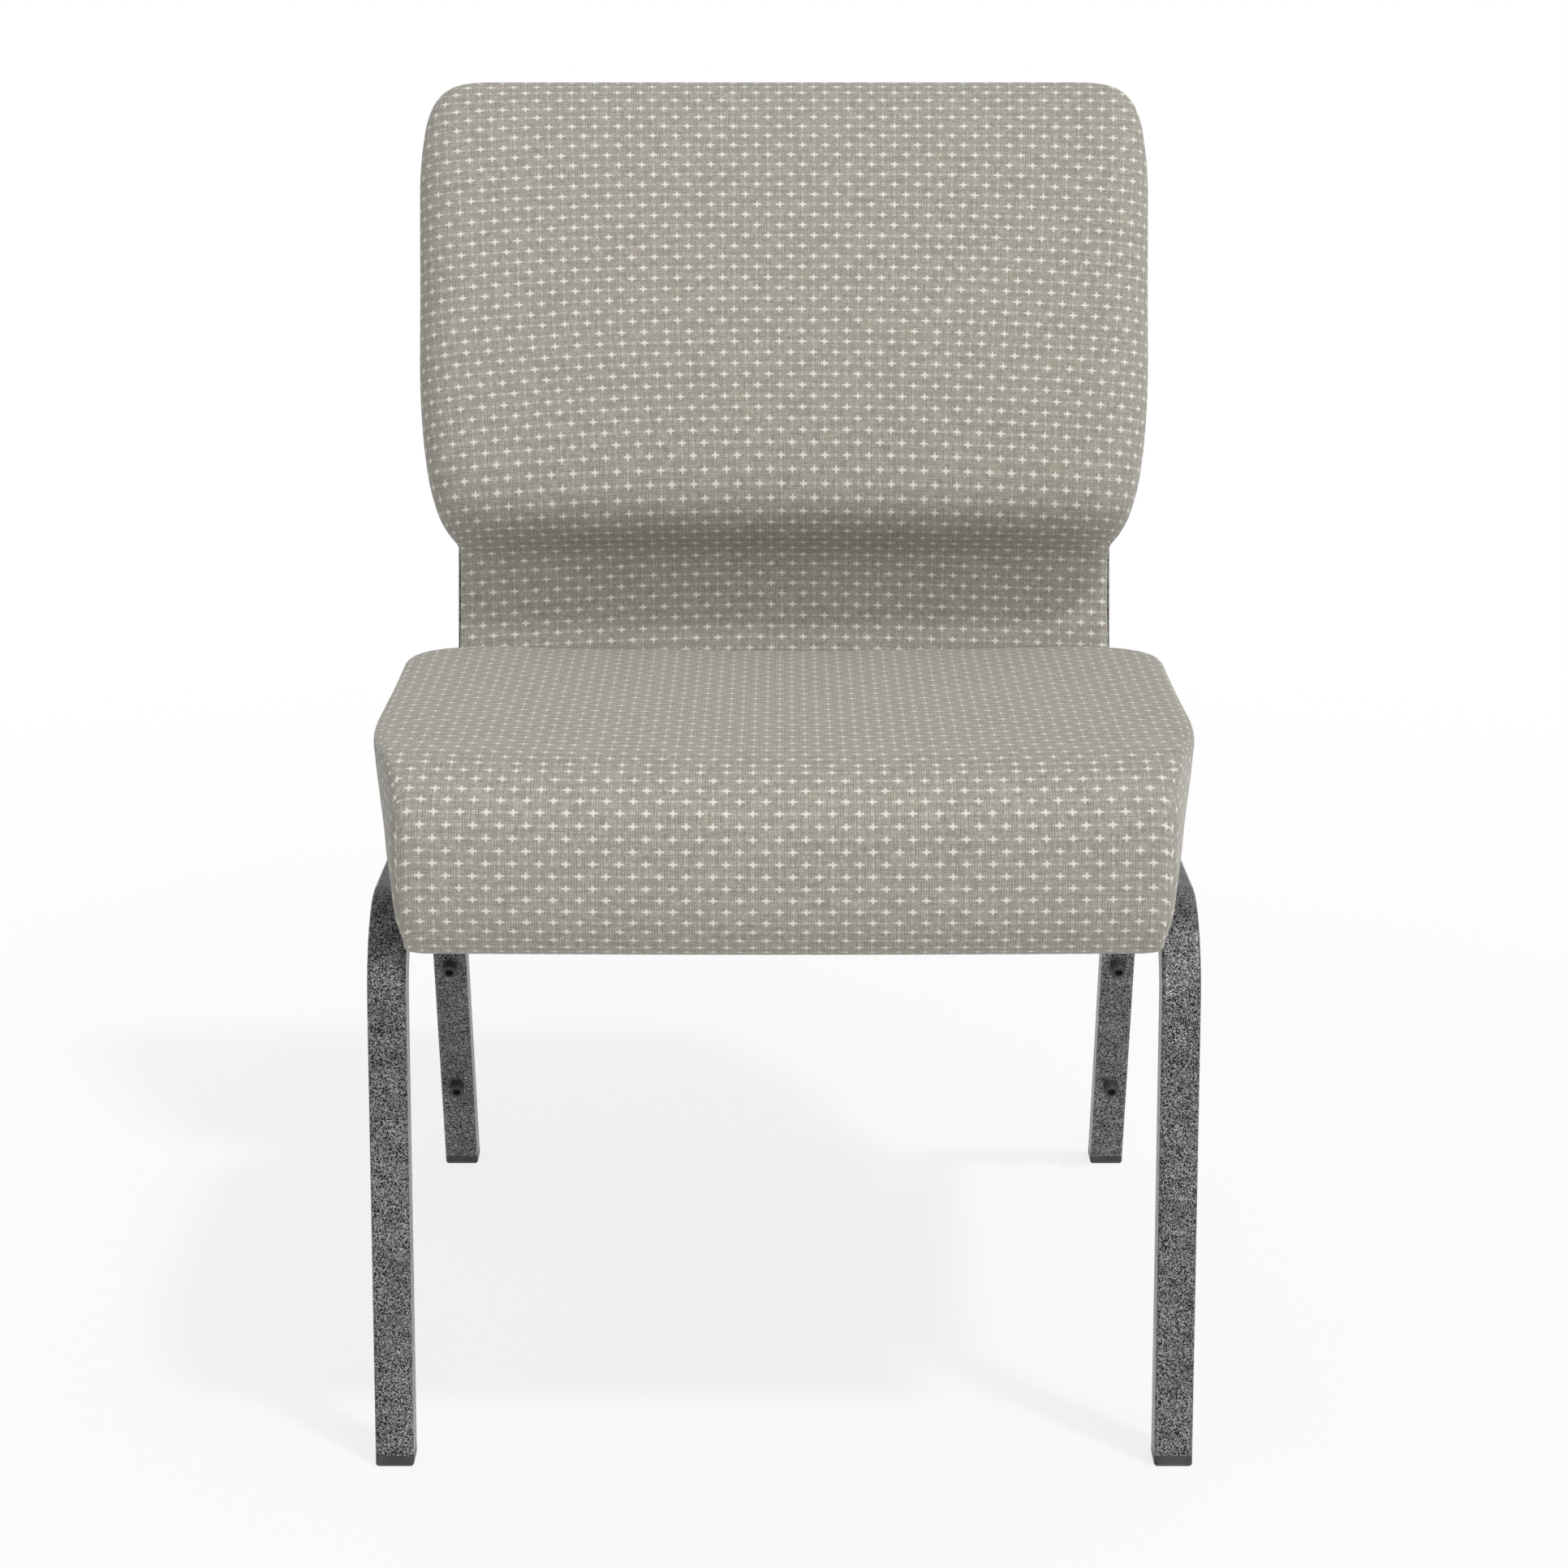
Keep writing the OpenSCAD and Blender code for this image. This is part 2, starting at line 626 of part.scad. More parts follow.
// The board is narrower than the pad all round and as wide as the cover allows on the panel
module back_board_blank(grow) {
    back_blank(back_margin - grow, panel_foot + 2 * cover_t - grow, board_face_y, back_board_t);
}
module at_back_screws() {
    for (place = back_screw_places) translate([place[0], 0, place[1]]) children();
}
module back_board() {
    color(ply_col) at_back() difference() {
        back_board_blank(0);
        at_back_screws() translate([0, overrun, 0]) rotate([90, 0, 0])
            cylinder(d = barrel_d + 2 * fit_gap, h = 2 * overrun - board_face_y);
    }
}
// Room that the hoop takes inside the pad
module hoop_room() {
    room = hoop_tube + 2 * soft_gap;
    bent_tube(hoop_path, hoop_bend_r, $fn = 32) {
        square(room, center = true);
        square(room, center = true);
    }
}
module back_padding() {
    difference() {
        back_shape(cover_t + soft_gap);
        back_board_blank(soft_gap);
        translate([-pad_w / 2, board_back_y - soft_gap, 0]) cube([pad_w, hoop_tube, crease_v]);
        back_blank(wrap_w, crease_v, board_back_y - soft_gap, 2 * hoop_tube);
        translate([hoop_tube / 2 - hoop_x, board_back_y - soft_gap, 0])
            cube([2 * hoop_x - hoop_tube, 2 * hoop_tube, hoop_top - hoop_tube / 2]);
        hoop_room();
        at_back_screws() translate([0, board_face_y + overrun, 0]) rotate([90, 0, 0])
            cylinder(d = flange_d + 2 * soft_gap, h = overrun + flange_t + soft_gap, $fn = 16);
    }
}
module back_pad_foam() {
    color(foam_col) at_back() intersection() {
        back_padding();
        translate([-pad_w, -pad_w, crease_v]) cube([2 * pad_w, 2 * pad_w, back_h]);
    }
}
module back_panel_foam() {
    color(foam_col) at_back() intersection() {
        back_padding();
        translate([-pad_w, -pad_w, 0]) cube([2 * pad_w, 2 * pad_w, crease_v - soft_gap]);
    }
}
module back_cover() {
    color(fabric_col) at_back() difference() {
        back_shape(0);
        back_shape(cover_t);
        back_blank(wrap_w, panel_foot + wrap_w, board_back_y - overrun / 4, 2 * hoop_tube);
        for (side = [-1, 1])
            translate([side * hoop_x - hoop_tube / 2 - soft_gap, board_back_y - soft_gap, 0])
                cube([hoop_tube + 2 * soft_gap, hoop_tube + soft_gap, crease_v + hoop_tube]);
    }
}
outer_margin = 1.5;
module outer_back_board() {
    color(ply_col) at_back() difference() {
        back_blank(outer_margin + cover_t, panel_foot + cover_t, outer_y, outer_board_t);
        for (place = clip_places) translate([place[0], outer_y - overrun, place[1]]) rotate([-90, 0, 0])
            cylinder(d = clip_head_d + 2 * fit_gap, h = overrun + clip_head_t + fit_gap);
    }
}
module outer_back_cover() {
    color(fabric_col) at_back() difference() {
        back_blank(outer_margin, panel_foot, outer_y, outer_board_t + cover_t);
        back_blank(outer_margin + cover_t, panel_foot + cover_t, outer_y - overrun, outer_board_t + overrun);
    }
}
module back_tnuts() {
    color(steel_col) at_back() at_back_screws() translate([0, board_face_y, 0]) rotate([90, 0, 0])
        tnut(back_board_t);
}
module back_screws() {
    seat_y = board_back_y + wall;
    reach = seat_y - board_face_y - flange_t;
    color(steel_col) at_back() at_back_screws() translate([0, seat_y, 0]) rotate([90, 0, 0])
        screw(reach);
}

// Clips of the outer back: a flat head sunk in the board and a barbed stem in the hoop's wall
clip_head_share = 1.4;
clip_head_d = clip_head_share * clip_d;
clip_head_t = outer_board_t / 2;
clip_len = hoop_tube / 2;
barb_share = 1.15;
module outer_back_clips() {
    color(black_col) at_back() for (place = clip_places)
        translate([place[0], outer_y, place[1]]) rotate([90, 0, 0]) {
            translate([0, 0, -clip_head_t]) cylinder(d = clip_head_d, h = clip_head_t);
            cylinder(d = clip_d, h = clip_len - clip_d / 2);
            translate([0, 0, cover_t + wall + fit_gap])
                cylinder(d1 = barb_share * clip_d, d2 = clip_d / 2, h = clip_len - wall);
        }
}

// Foot glides: a foot of the tube's section, chamfered at the floor, and a finned plug
fin_shares = [0.15, 0.5, 0.85];
fin_t = 1.5;
core_share = 0.72;
foot_chamfer_share = 0.25;
module foot_profile(run, slope) {
    chamfer = foot_chamfer_share * glide_h;
    low = slope * chamfer;
    high = slope * glide_h;
    polygon([
        [-run / 2 + chamfer, 0],
        [run / 2 - chamfer, 0],
        [run / 2 + low, chamfer],
        [run / 2 + high, glide_h],
        [-run / 2 + high, glide_h],
        [-run / 2 + low, chamfer]
    ]);
}
// lean is positive where the leg's top stands further back than its foot
module glide(x, foot_d, lean) {
    run = tube / cos(lean);
    inside = tube - 2 * wall - 2 * fit_gap;
    color(black_col) translate([x, foot_d - mid_d, 0]) {
        intersection() {
            rotate([90, 0, 90]) translate([0, 0, -tube])
                linear_extrude(2 * tube) foot_profile(run, tan(lean));
            rotate([90, 0, 0]) translate([0, 0, -tube]) linear_extrude(2 * tube) foot_profile(tube, 0);
            rotate([-lean, 0, 0]) translate([0, 0, -tube]) linear_extrude(2 * tube)
                tube_section(tube, tube_round);
        }
        intersection() {
            rotate([-lean, 0, 0]) {
                linear_extrude(glide_h + plug_h) square(core_share * inside, center = true);
                for (s = fin_shares) translate([0, 0, glide_h + s * plug_h])
                    linear_extrude(fin_t) square(inside - 2 * tube_round + 2 * wall, center = true);
            }
            translate([-tube, -2 * tube, glide_h / 2]) cube([2 * tube, 4 * tube, plug_h + glide_h]);
        }
    }
}
module front_left_glide() { glide(-frame_x, front_foot_d, front_lean); }
module front_right_glide() { glide(frame_x, front_foot_d, front_lean); }
module rear_left_glide() { glide(-frame_x, rear_foot_d, -rear_lean); }
module rear_right_glide() { glide(frame_x, rear_foot_d, -rear_lean); }

// Stacking bumpers: a hollow round head outside the tube and a barbed stem through its wall
head_round = 1.5;
hollow_share = 0.6;
stem_len = 3 * wall;
module bumper(side, place) {
    head_r = bumper_d / 2;
    color(black_col) at_rear_leg(side) translate([0, -tube / 2, place]) rotate([90, 0, 0]) {
        difference() {
            rotate_extrude() {
                square([head_r, bumper_h - head_round]);
                square([head_r - head_round, bumper_h]);
                translate([head_r - head_round, bumper_h - head_round]) circle(r = head_round);
            }
            translate([0, 0, (1 - hollow_share) * bumper_h])
                cylinder(d = bumper_hollow_d, h = bumper_h);
        }
        translate([0, 0, -stem_len]) cylinder(d = stem_d, h = stem_len);
        translate([0, 0, -stem_len]) cylinder(d1 = stem_d, d2 = stem_d + wall, h = stem_len - wall - fit_gap);
    }
}
module upper_left_bumper() { bumper(-1, bumper_places[1]); }
module lower_left_bumper() { bumper(-1, bumper_places[0]); }
module upper_right_bumper() { bumper(1, bumper_places[1]); }
module lower_right_bumper() { bumper(1, bumper_places[0]); }

left_side_frame();
right_side_frame();
front_crossbar();
middle_crossbar();
rear_crossbar();
back_hoop();
seat_board();
seat_foam();
seat_cover();
seat_dust_cover();
seat_tnuts();
seat_screws();
back_board();
back_pad_foam();
back_panel_foam();
back_cover();
outer_back_board();
outer_back_cover();
back_tnuts();
back_screws();
outer_back_clips();
front_left_glide();
front_right_glide();
rear_left_glide();
rear_right_glide();
upper_left_bumper();
lower_left_bumper();
upper_right_bumper();
lower_right_bumper();
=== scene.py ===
import math

import bpy
import numpy as np
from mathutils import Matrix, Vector


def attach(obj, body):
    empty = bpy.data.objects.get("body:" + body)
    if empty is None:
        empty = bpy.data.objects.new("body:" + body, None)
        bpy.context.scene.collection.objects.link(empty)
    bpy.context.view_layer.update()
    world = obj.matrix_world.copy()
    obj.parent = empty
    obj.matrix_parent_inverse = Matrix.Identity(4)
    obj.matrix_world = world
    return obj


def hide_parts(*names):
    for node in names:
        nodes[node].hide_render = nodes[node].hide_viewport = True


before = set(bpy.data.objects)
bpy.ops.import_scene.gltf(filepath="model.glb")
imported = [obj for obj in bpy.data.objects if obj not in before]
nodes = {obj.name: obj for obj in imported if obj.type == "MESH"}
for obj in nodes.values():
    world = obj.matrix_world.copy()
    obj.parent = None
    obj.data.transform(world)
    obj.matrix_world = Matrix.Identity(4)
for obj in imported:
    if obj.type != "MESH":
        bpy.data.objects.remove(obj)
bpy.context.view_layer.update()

MM = 0.001

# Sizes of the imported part, in millimetres
CHAIR_W = 533.0
TUBE = 25.0
BASE_D = 604.0
RAIL_H = 359.0
FRONT_LEAN = math.radians(4)
SEAT_FALL = math.radians(2.8)
BACK_LEAN = math.radians(14.67)
SEAT_W = 538.0
SEAT_FRONT_W = 483.0
SEAT_SIDE_DRAW = 36.0
SEAT_FACE_DRAW = 9.5
SEAT_NOSE = 82.5
SEAT_REAR = 372.02
SEAT_THICK = 120.5
SEAT_NEST = 17.5
NOSE_ROUND = 52.0
SEAT_REAR_DRAW = 24.0
SEAT_DISH = 5.0
LIP_DROP = 5.0
NOSE_RISE = 4.8
REAR_BAR_U = 392.02
BAR_PLACES = (34.0, 302.02)
BAR_W = 30.0
BACK_H = 507.5
PAD_H = 0.67 * BACK_H
PAD_W = 526.0
PANEL_W = 472.0
PAD_THICK = 78.0
PANEL_THICK = 12.0
PAD_CROWN = 5.0
PANEL_FOOT = 12.0
HOOP_TUBE = 22.0
HOOP_W = 475.0
BACK_BOARD_T = 9.0
OUTER_BOARD_T = 4.0
COVER_T = 1.5
DUST_T = 0.8

CORNER_D = TUBE / math.cos(FRONT_LEAN) / 2 + RAIL_H * math.tan(FRONT_LEAN)
NOSE_H_SHARE = 0.55
NOSE_D = CORNER_D - SEAT_NOSE * math.cos(SEAT_FALL) + NOSE_H_SHARE * SEAT_THICK * math.sin(SEAT_FALL)
MID_D = (BASE_D + NOSE_D) / 2
INNER_X = CHAIR_W / 2 - TUBE
SEAT_BOTTOM = TUBE / 2 - SEAT_NEST
HOOP_X = HOOP_W / 2 - HOOP_TUBE / 2


def turned(points, angle):
    """Points turned about the X axis"""
    x, y, z = np.moveaxis(np.asarray(points, float), -1, 0)
    c, s = math.cos(angle), math.sin(angle)
    return np.stack([x, y * c - z * s, y * s + z * c], -1)


def from_seat(points):
    """Seat frame (across, rearward along the rail, up from it) to the chair's own, in metres"""
    return (turned(points, -SEAT_FALL) + [0, CORNER_D - MID_D, RAIL_H]) * MM


def from_back(points):
    """Frame of the back (across, rearward from the hoop's middle, up the back) to the chair's own"""
    return from_seat(turned(points, SEAT_FALL - BACK_LEAN) + [0, REAR_BAR_U, TUBE / 2])


# Curves
def ease(t):
    t = np.clip(t, 0, 1)
    return t * t * (3 - 2 * t)


def blend(a, b, t):
    return a + (b - a) * t


def lengths_along(points):
    return np.r_[0, np.cumsum(np.linalg.norm(np.diff(points, axis=0), axis=1))]


def area_within(half_line):
    """Area in square metres inside a line given by its right half, from axis to axis"""
    x, y = np.asarray(half_line, float).T
    return abs(np.sum((x[1:] + x[:-1]) * np.diff(y))) * MM * MM


def smooth_rows(rows, scale, step):
    """Rows of shares joined by one smooth curve, cut again into steps of about one length"""
    rows = np.array(rows, float)
    place = lengths_along(rows * scale)
    slope = np.gradient(rows, place, axis=0)
    at = np.linspace(0, place[-1], int(place[-1] / step) + 1)
    k = np.clip(np.searchsorted(place, at, side="right") - 1, 0, len(rows) - 2)
    gap = (place[k + 1] - place[k])[:, None]
    t = (at - place[k])[:, None] / gap
    return (
        (2 * t**3 - 3 * t**2 + 1) * rows[k]
        + (t**3 - 2 * t**2 + t) * gap * slope[k]
        + (3 * t**2 - 2 * t**3) * rows[k + 1]
        + (t**3 - t**2) * gap * slope[k + 1]
    )


def rounded_line(corners, cuts, steps=16):
    """An open line whose inner corners are rounded, and where each corner's middle is in it"""
    corners = [np.array(c, float) for c in corners]
    points, middles = [corners[0]], []
    for before, corner, after, cut in zip(corners, corners[1:], corners[2:], cuts):
        start = corner + (before - corner) * min(0.5, cut / np.linalg.norm(before - corner))
        end = corner + (after - corner) * min(0.5, cut / np.linalg.norm(after - corner))
        for i in range(steps + 1):
            t = i / steps
            points.append((1 - t) ** 2 * start + 2 * t * (1 - t) * corner + t * t * end)
        middles.append(len(points) - 1 - steps // 2)
    points.append(corners[-1])
    return np.array(points), middles


def spaced(points, count, tight_start=0.0, tight_end=0.0):
    """count + 1 points along a line, closer together towards an end that is tight"""
    t = np.linspace(0, 1, count + 1)
    place = t - tight_start * np.sin(np.pi * t) / np.pi * (1 - t) + tight_end * np.sin(np.pi * t) / np.pi * t
    along = lengths_along(points)
    return np.stack([np.interp(place * along[-1], along, points[:, k]) for k in range(points.shape[1])], 1)


def four_sides(right_line, middles, across, deep):
    """Front, right, rear and left sides of a ring whose right half is given from front to rear"""
    first, last = middles[0], middles[-1]
    half = across // 2
    front_half = spaced(right_line[: first + 1], half, 0, 0.7)
    right = spaced(right_line[first : last + 1], deep, 0.5, 0.5)
    rear_half = spaced(right_line[last:], half, 0.7, 0)
    flip = np.array([-1, 1])
    front = np.concatenate([front_half[::-1] * flip, front_half[1:]])
    rear = np.concatenate([rear_half, rear_half[::-1][1:] * flip])
    return front, right, rear, right[::-1] * flip


def coons(front, right, rear, left):
    """A grid of points inside a ring's four sides, its edges included"""
    rear, left = rear[::-1], left[::-1]
    s = (lengths_along(front) / lengths_along(front)[-1])[:, None, None]
    t = (lengths_along(right) / lengths_along(right)[-1])[None, :, None]
    straight = (1 - t) * front[:, None] + t * rear[:, None] + (1 - s) * left[None] + s * right[None]
    corners = (
        (1 - s) * (1 - t) * front[0] + s * (1 - t) * front[-1] + (1 - s) * t * rear[0] + s * t * rear[-1]
    )
    return straight - corners


# Meshes
def new_piece(name, points, faces, material, uvs=None, slot=None, smooth=True):
    mesh = bpy.data.meshes.new(name)
    mesh.from_pydata([tuple(p) for p in points], [], faces)
    if uvs is not None:
        layer = mesh.uv_layers.new(name="weave")
        layer.data.foreach_set("uv", np.asarray(uvs, np.float32).ravel())
    mesh.polygons.foreach_set("use_smooth", [smooth] * len(mesh.polygons))
    mesh.materials.append(material)
    mesh.validate()
    mesh.update()
    piece = bpy.data.objects.new(name, mesh)
    bpy.context.scene.collection.objects.link(piece)
    if slot:
        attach(piece, "root")
    return piece


class BoxSkin:
    """Closed skin of quads: four sided walls of stacked rings, with a grid over each end.

    The grids' inner points come after the rings' points. Every side keeps its own weave
    coordinates, so that the cloth can turn a corner as the upholsterer cuts it."""

    def __init__(self, rings, low, high, across, deep):
        self.across, self.deep, self.levels = across, deep, len(rings)
        self.round = 2 * (across + deep)
        inner = [grid[1:-1, 1:-1].reshape(-1, 3) for grid in (low, high)]
        self.points = np.concatenate([rings.reshape(-1, 3)] + inner)
        self.inner_start = (self.levels * self.round, self.levels * self.round + len(inner[0]))
        self.faces, self.uvs = [], []

    def ring_id(self, level, place):
        return level * self.round + place % self.round

    def grid_id(self, end, i, j):
        """Point (i, j) of the grid on the first ring (end 0) or the last one (end 1)"""
        level = (self.levels - 1) * end
        if j == 0:
            return self.ring_id(level, i)
        if i == self.across:
            return self.ring_id(level, self.across + j)
        if j == self.deep:
            return self.ring_id(level, 2 * self.across + self.deep - i)
        if i == 0:
            return self.ring_id(level, self.round - j)
        return self.inner_start[end] + (i - 1) * (self.deep - 1) + j - 1

    def wall(self, start, uv):
        """uv[level][place] covers one side, which starts at a place of the rings"""
        for level in range(self.levels - 1):
            for place in range(uv.shape[1] - 1):
                corners = [(level, place), (level, place + 1), (level + 1, place + 1), (level + 1, place)]
                self.faces.append([self.ring_id(a, start + b) for a, b in corners])
                self.uvs += [uv[a, b] for a, b in corners]

    def cap(self, end, uv):
        for i in range(self.across):
            for j in range(self.deep):
                corners = [(i, j), (i + 1, j), (i + 1, j + 1), (i, j + 1)]
                if end == 0:
                    corners.reverse()
                self.faces.append([self.grid_id(end, a, b) for a, b in corners])
                self.uvs += [uv[a, b] for a, b in corners]

    def piece(self, name, to_chair, material, slot):
        return new_piece(name, to_chair(self.points), self.faces, material, self.uvs, slot)


# Shader nodes
class Wire:
    """A value that changes over a surface, as the output of a node in one finish"""

    def __init__(self, finish, socket):
        self.finish, self.socket = finish, socket

    def math(self, operation, *others):
        values = dict(enumerate((self,) + others))
        return self.finish.node("ShaderNodeMath", {"operation": operation}, values)

    def __add__(self, other):
        return self.math("ADD", other)

    def __sub__(self, other):
        return self.math("SUBTRACT", other)

    def __mul__(self, other):
        return self.math("MULTIPLY", other)

    def __truediv__(self, other):
        return self.math("DIVIDE", other)

    __radd__ = __add__
    __rmul__ = __mul__

    def __rsub__(self, other):
        return self.finish.node("ShaderNodeMath", {"operation": "SUBTRACT"}, {0: other, 1: self})

    def __abs__(self):
        return self.math("ABSOLUTE")

    def whole(self):
        return self.math("FLOOR")

    def part(self):
        return self.math("FRACT")

    def most(self, other):
        return self.math("MAXIMUM", other)

    def least(self, other):
        return self.math("MINIMUM", other)

    def power(self, other):
        return self.math("POWER", other)

    def fade(self, start, end, low=0.0, high=1.0):
        """Smooth change from low to high as the value goes from start to end"""
        return self.finish.node(
            "ShaderNodeMapRange",
            {"interpolation_type": "SMOOTHSTEP"},
            {"Value": self, "From Min": start, "From Max": end, "To Min": low, "To Max": high},
        )

    def from_line(self, period=1.0, shift=0.0):
        """Signed distance to the nearest of a set of lines, in periods"""
        return ((self - shift) / period + 0.5).part() - 0.5


class Finish:
    """One material, or the world's light"""

    def __init__(self, name, tree=None):
        if tree is None:
            self.material = bpy.data.materials.new(name)
            self.material.use_nodes = True
            tree = self.material.node_tree
        self.tree = tree
        self.tree.nodes.clear()

    def node(self, kind, settings=None, sockets=None, out=0):
        made = self.tree.nodes.new(kind)
        for key, value in (settings or {}).items():
            setattr(made, key, value)
        for key, value in (sockets or {}).items():
            if isinstance(value, Wire):
                self.tree.links.new(value.socket, made.inputs[key])
            else:
                made.inputs[key].default_value = value
        return Wire(self, made.outputs[out])

    def other(self, wire, out):
        """Another output of the node that a wire comes from"""
        return Wire(self, wire.socket.node.outputs[out])

    def place(self):
        """Place on the chair, in metres"""
        return self.node("ShaderNodeTexCoord", out="Object")

    def split(self, vector):
        x = self.node("ShaderNodeSeparateXYZ", sockets={0: vector})
        return x, self.other(x, 1), self.other(x, 2)

    def join(self, x=0.0, y=0.0, z=0.0):
        return self.node("ShaderNodeCombineXYZ", sockets={0: x, 1: y, 2: z})

    def noise(self, vector, scale, detail=2.0, rough=0.5, distort=0.0, kind="3D"):
        return self.node(
            "ShaderNodeTexNoise",
            {"noise_dimensions": kind},
            {"Vector": vector, "Scale": scale, "Detail": detail, "Roughness": rough, "Distortion": distort},
        )

    def tint(self, factor, low, high):
        """Colour from low to high"""
        sockets = {"Factor": factor, 6: low, 7: high}
        return self.node("ShaderNodeMix", {"data_type": "RGBA"}, sockets, out=2)

    def bump(self, height, distance, strength=1.0):
        return self.node("ShaderNodeBump", {}, {"Height": height, "Distance": distance, "Strength": strength})

    def surface(self, **sockets):
        named = {key.replace("_", " "): value for key, value in sockets.items()}
        shader = self.node("ShaderNodeBsdfPrincipled", {}, named, out="BSDF")
        self.show(shader)
        return self.material

    def show(self, shader, kind="ShaderNodeOutputMaterial"):
        end = self.tree.nodes.new(kind)
        self.tree.links.new(shader.socket, end.inputs["Surface"])


def srgb(*channels):
    """A colour given as it shows on a screen, 0 to 255"""
    linear = [((c / 255 + 0.055) / 1.055) ** 2.4 if c > 10 else c / 255 / 12.92 for c in channels]
    return (*linear, 1.0)


# The weave: stars on a lattice, each row shifted by half a pitch from the one above
STAR_PITCH = 16.4
ROW_PITCH = 8.2
THREADS_ACROSS = 20
THREADS_DOWN = 10


def star_cloth(name, base, deep, star, join=1000.0, join_step=-1000.0):
    """Upholstery fabric; its weave map counts star pitches across and star rows down.

    Below the row where two lengths of the pattern join, the lattice has slipped by half a pitch.
    Left of the step, counted in pitches, the join is one row higher."""
    f = Finish(name)
    u, v, _ = f.split(f.node("ShaderNodeUVMap", {"uv_map": "weave"}))
    slipped = (v + u.math("LESS_THAN", join_step)).math("GREATER_THAN", join + 0.5)
    u = u + slipped * 0.5
    across, down = u * STAR_PITCH, v * ROW_PITCH

    def star_at(across_shift, row_shift):
        x = abs(u.from_line(1.0, across_shift)) * STAR_PITCH
        y = abs(v.from_line(2.0, row_shift)) * (2 * ROW_PITCH)
        flat_arm = x.fade(3.6, 1.7) * y.fade(0.85, 0.55)
        tall_arm = y.fade(2.9, 1.5) * x.fade(0.9, 0.6)
        tail = x.fade(6.0, 2.5) * y.fade(0.9, 0.5)
        return flat_arm.most(tall_arm), x.fade(1.5, 0.6) * y.fade(1.4, 0.6), tail

    star_a, core_a, tail_a = star_at(0.0, 0.0)
    star_b, core_b, tail_b = star_at(0.5, 1.0)
    _, faint_a, _ = star_at(0.5, 0.0)
    _, faint_b, _ = star_at(0.0, 1.0)
    stars = star_a.most(star_b)
    cores = core_a.most(core_b)
    faint = faint_a.most(faint_b)
    tails = tail_a.most(tail_b)
    row_line = (abs(v.from_line(1.0)) * ROW_PITCH).fade(1.4, 0.6)
    column_line = (abs(u.from_line(0.5)) * STAR_PITCH).fade(1.1, 0.4)

    warp, weft = u * THREADS_ACROSS, v * THREADS_DOWN
    warp_tone = f.noise(f.join(warp, weft * 0.11), 0.8, 2, 0.6)
    weft_tone = f.noise(f.join(warp * 0.11, weft, 7.0), 0.8, 2, 0.6)
    over = ((warp + 0.5).whole() + (weft + 0.5).whole()).from_line(2.0)
    warp_over = abs(over).fade(0.2, 0.3)
    warp_round = 1 - abs(warp.from_line(1.0, 0.0)) * 1.7
    weft_round = 1 - abs(weft.from_line(1.0, 0.0)) * 1.7
    tone = f.node("ShaderNodeMix", {}, {0: warp_over, 2: weft_tone, 3: warp_tone})
    relief = f.node("ShaderNodeMix", {}, {0: warp_over, 2: weft_round, 3: warp_round})
    slub = f.noise(f.join(warp, weft * 0.6, 3.0), 0.75, 2, 0.7)
    ditch = (abs(warp.from_line(2.0)) * 2).fade(0.55, 0.15)
    rib = (abs(weft.from_line(2.0)) * 2).fade(0.55, 0.15)
    pits = (ditch * rib).most(ditch * 0.40) * slub.fade(0.34, 0.64, 0.12, 1.0)
    flecks = f.noise(f.join(across, down, 11.0), 0.23, 1).fade(0.76, 0.80)
    patch = f.noise(f.join(across, down, 5.0), 0.06, 3, 0.65)

    cool = tuple(c * k for c, k in zip(base, (0.965, 1.0, 0.955, 1.0)))
    warm = tuple(c * k for c, k in zip(base, (1.03, 0.992, 1.01, 1.0)))
    light = f.tint(patch.fade(0.36, 0.64), cool, warm)
    ground = f.tint(tone.fade(0.37, 0.63), deep, light)
    dark = tuple(0.36 * c for c in deep[:3]) + (1.0,)
    pitted = f.tint(pits.most(flecks * pits), ground, dark)
    faded = (row_line * 0.08).most(column_line * 0.10).most(tails * 0.26).most(faint * 0.42)
    # The star yarn and the faint lines keep their own colour, but both are weighted by the threads' relief.
    # This makes them strongest on the thread crowns and weaker between threads: a painted highlight on the
    # crowns, with painted shade between them.
    faint_lines_and_crown_highlight = f.tint(faded * (0.6 + relief * 0.4), pitted, star)
    woven_star_and_crown_highlight = stars * (0.52 + relief * 0.48)
    colour = f.tint(woven_star_and_crown_highlight.most(cores * 0.92).least(1.0) * 0.95, faint_lines_and_crown_highlight, star)
    height = relief * 0.6 + stars * 0.7 + faint * 0.2 - pits * 0.7
    return f.surface(
        Base_Color=colour,
        Roughness=0.92,
        Sheen_Weight=0.3,
        Sheen_Roughness=0.35,
        Specular_IOR_Level=0.25,
        Normal=f.bump(height, 0.0002, 0.8),
    )


def vein_paint(name, dark=srgb(8, 8, 9), vein=srgb(174, 175, 176)):
    """Black powder coat with silver veins, under a clear coat"""
    f = Finish(name)
    place = f.place()
    wander = f.noise(place, 700, 1.2, 0.5, 0.5)
    fine = f.noise(place, 1700, 1, 0.5)
    veins = abs(wander + fine * 0.16 - 0.575).fade(0.075, 0.02)
    cloud = f.noise(place, 60, 2)
    silver = veins * cloud.fade(0.3, 0.7, 0.75, 1.0)
    return f.surface(
        Base_Color=f.tint(silver, dark, vein),
        Metallic=silver * 0.6,
        Roughness=silver.fade(0.0, 1.0, 0.40, 0.30),
        Specular_IOR_Level=0.25,
        Coat_Weight=0.16,
        Coat_Roughness=0.12,
        Normal=f.bump(veins, 0.00018, 0.8),
    )


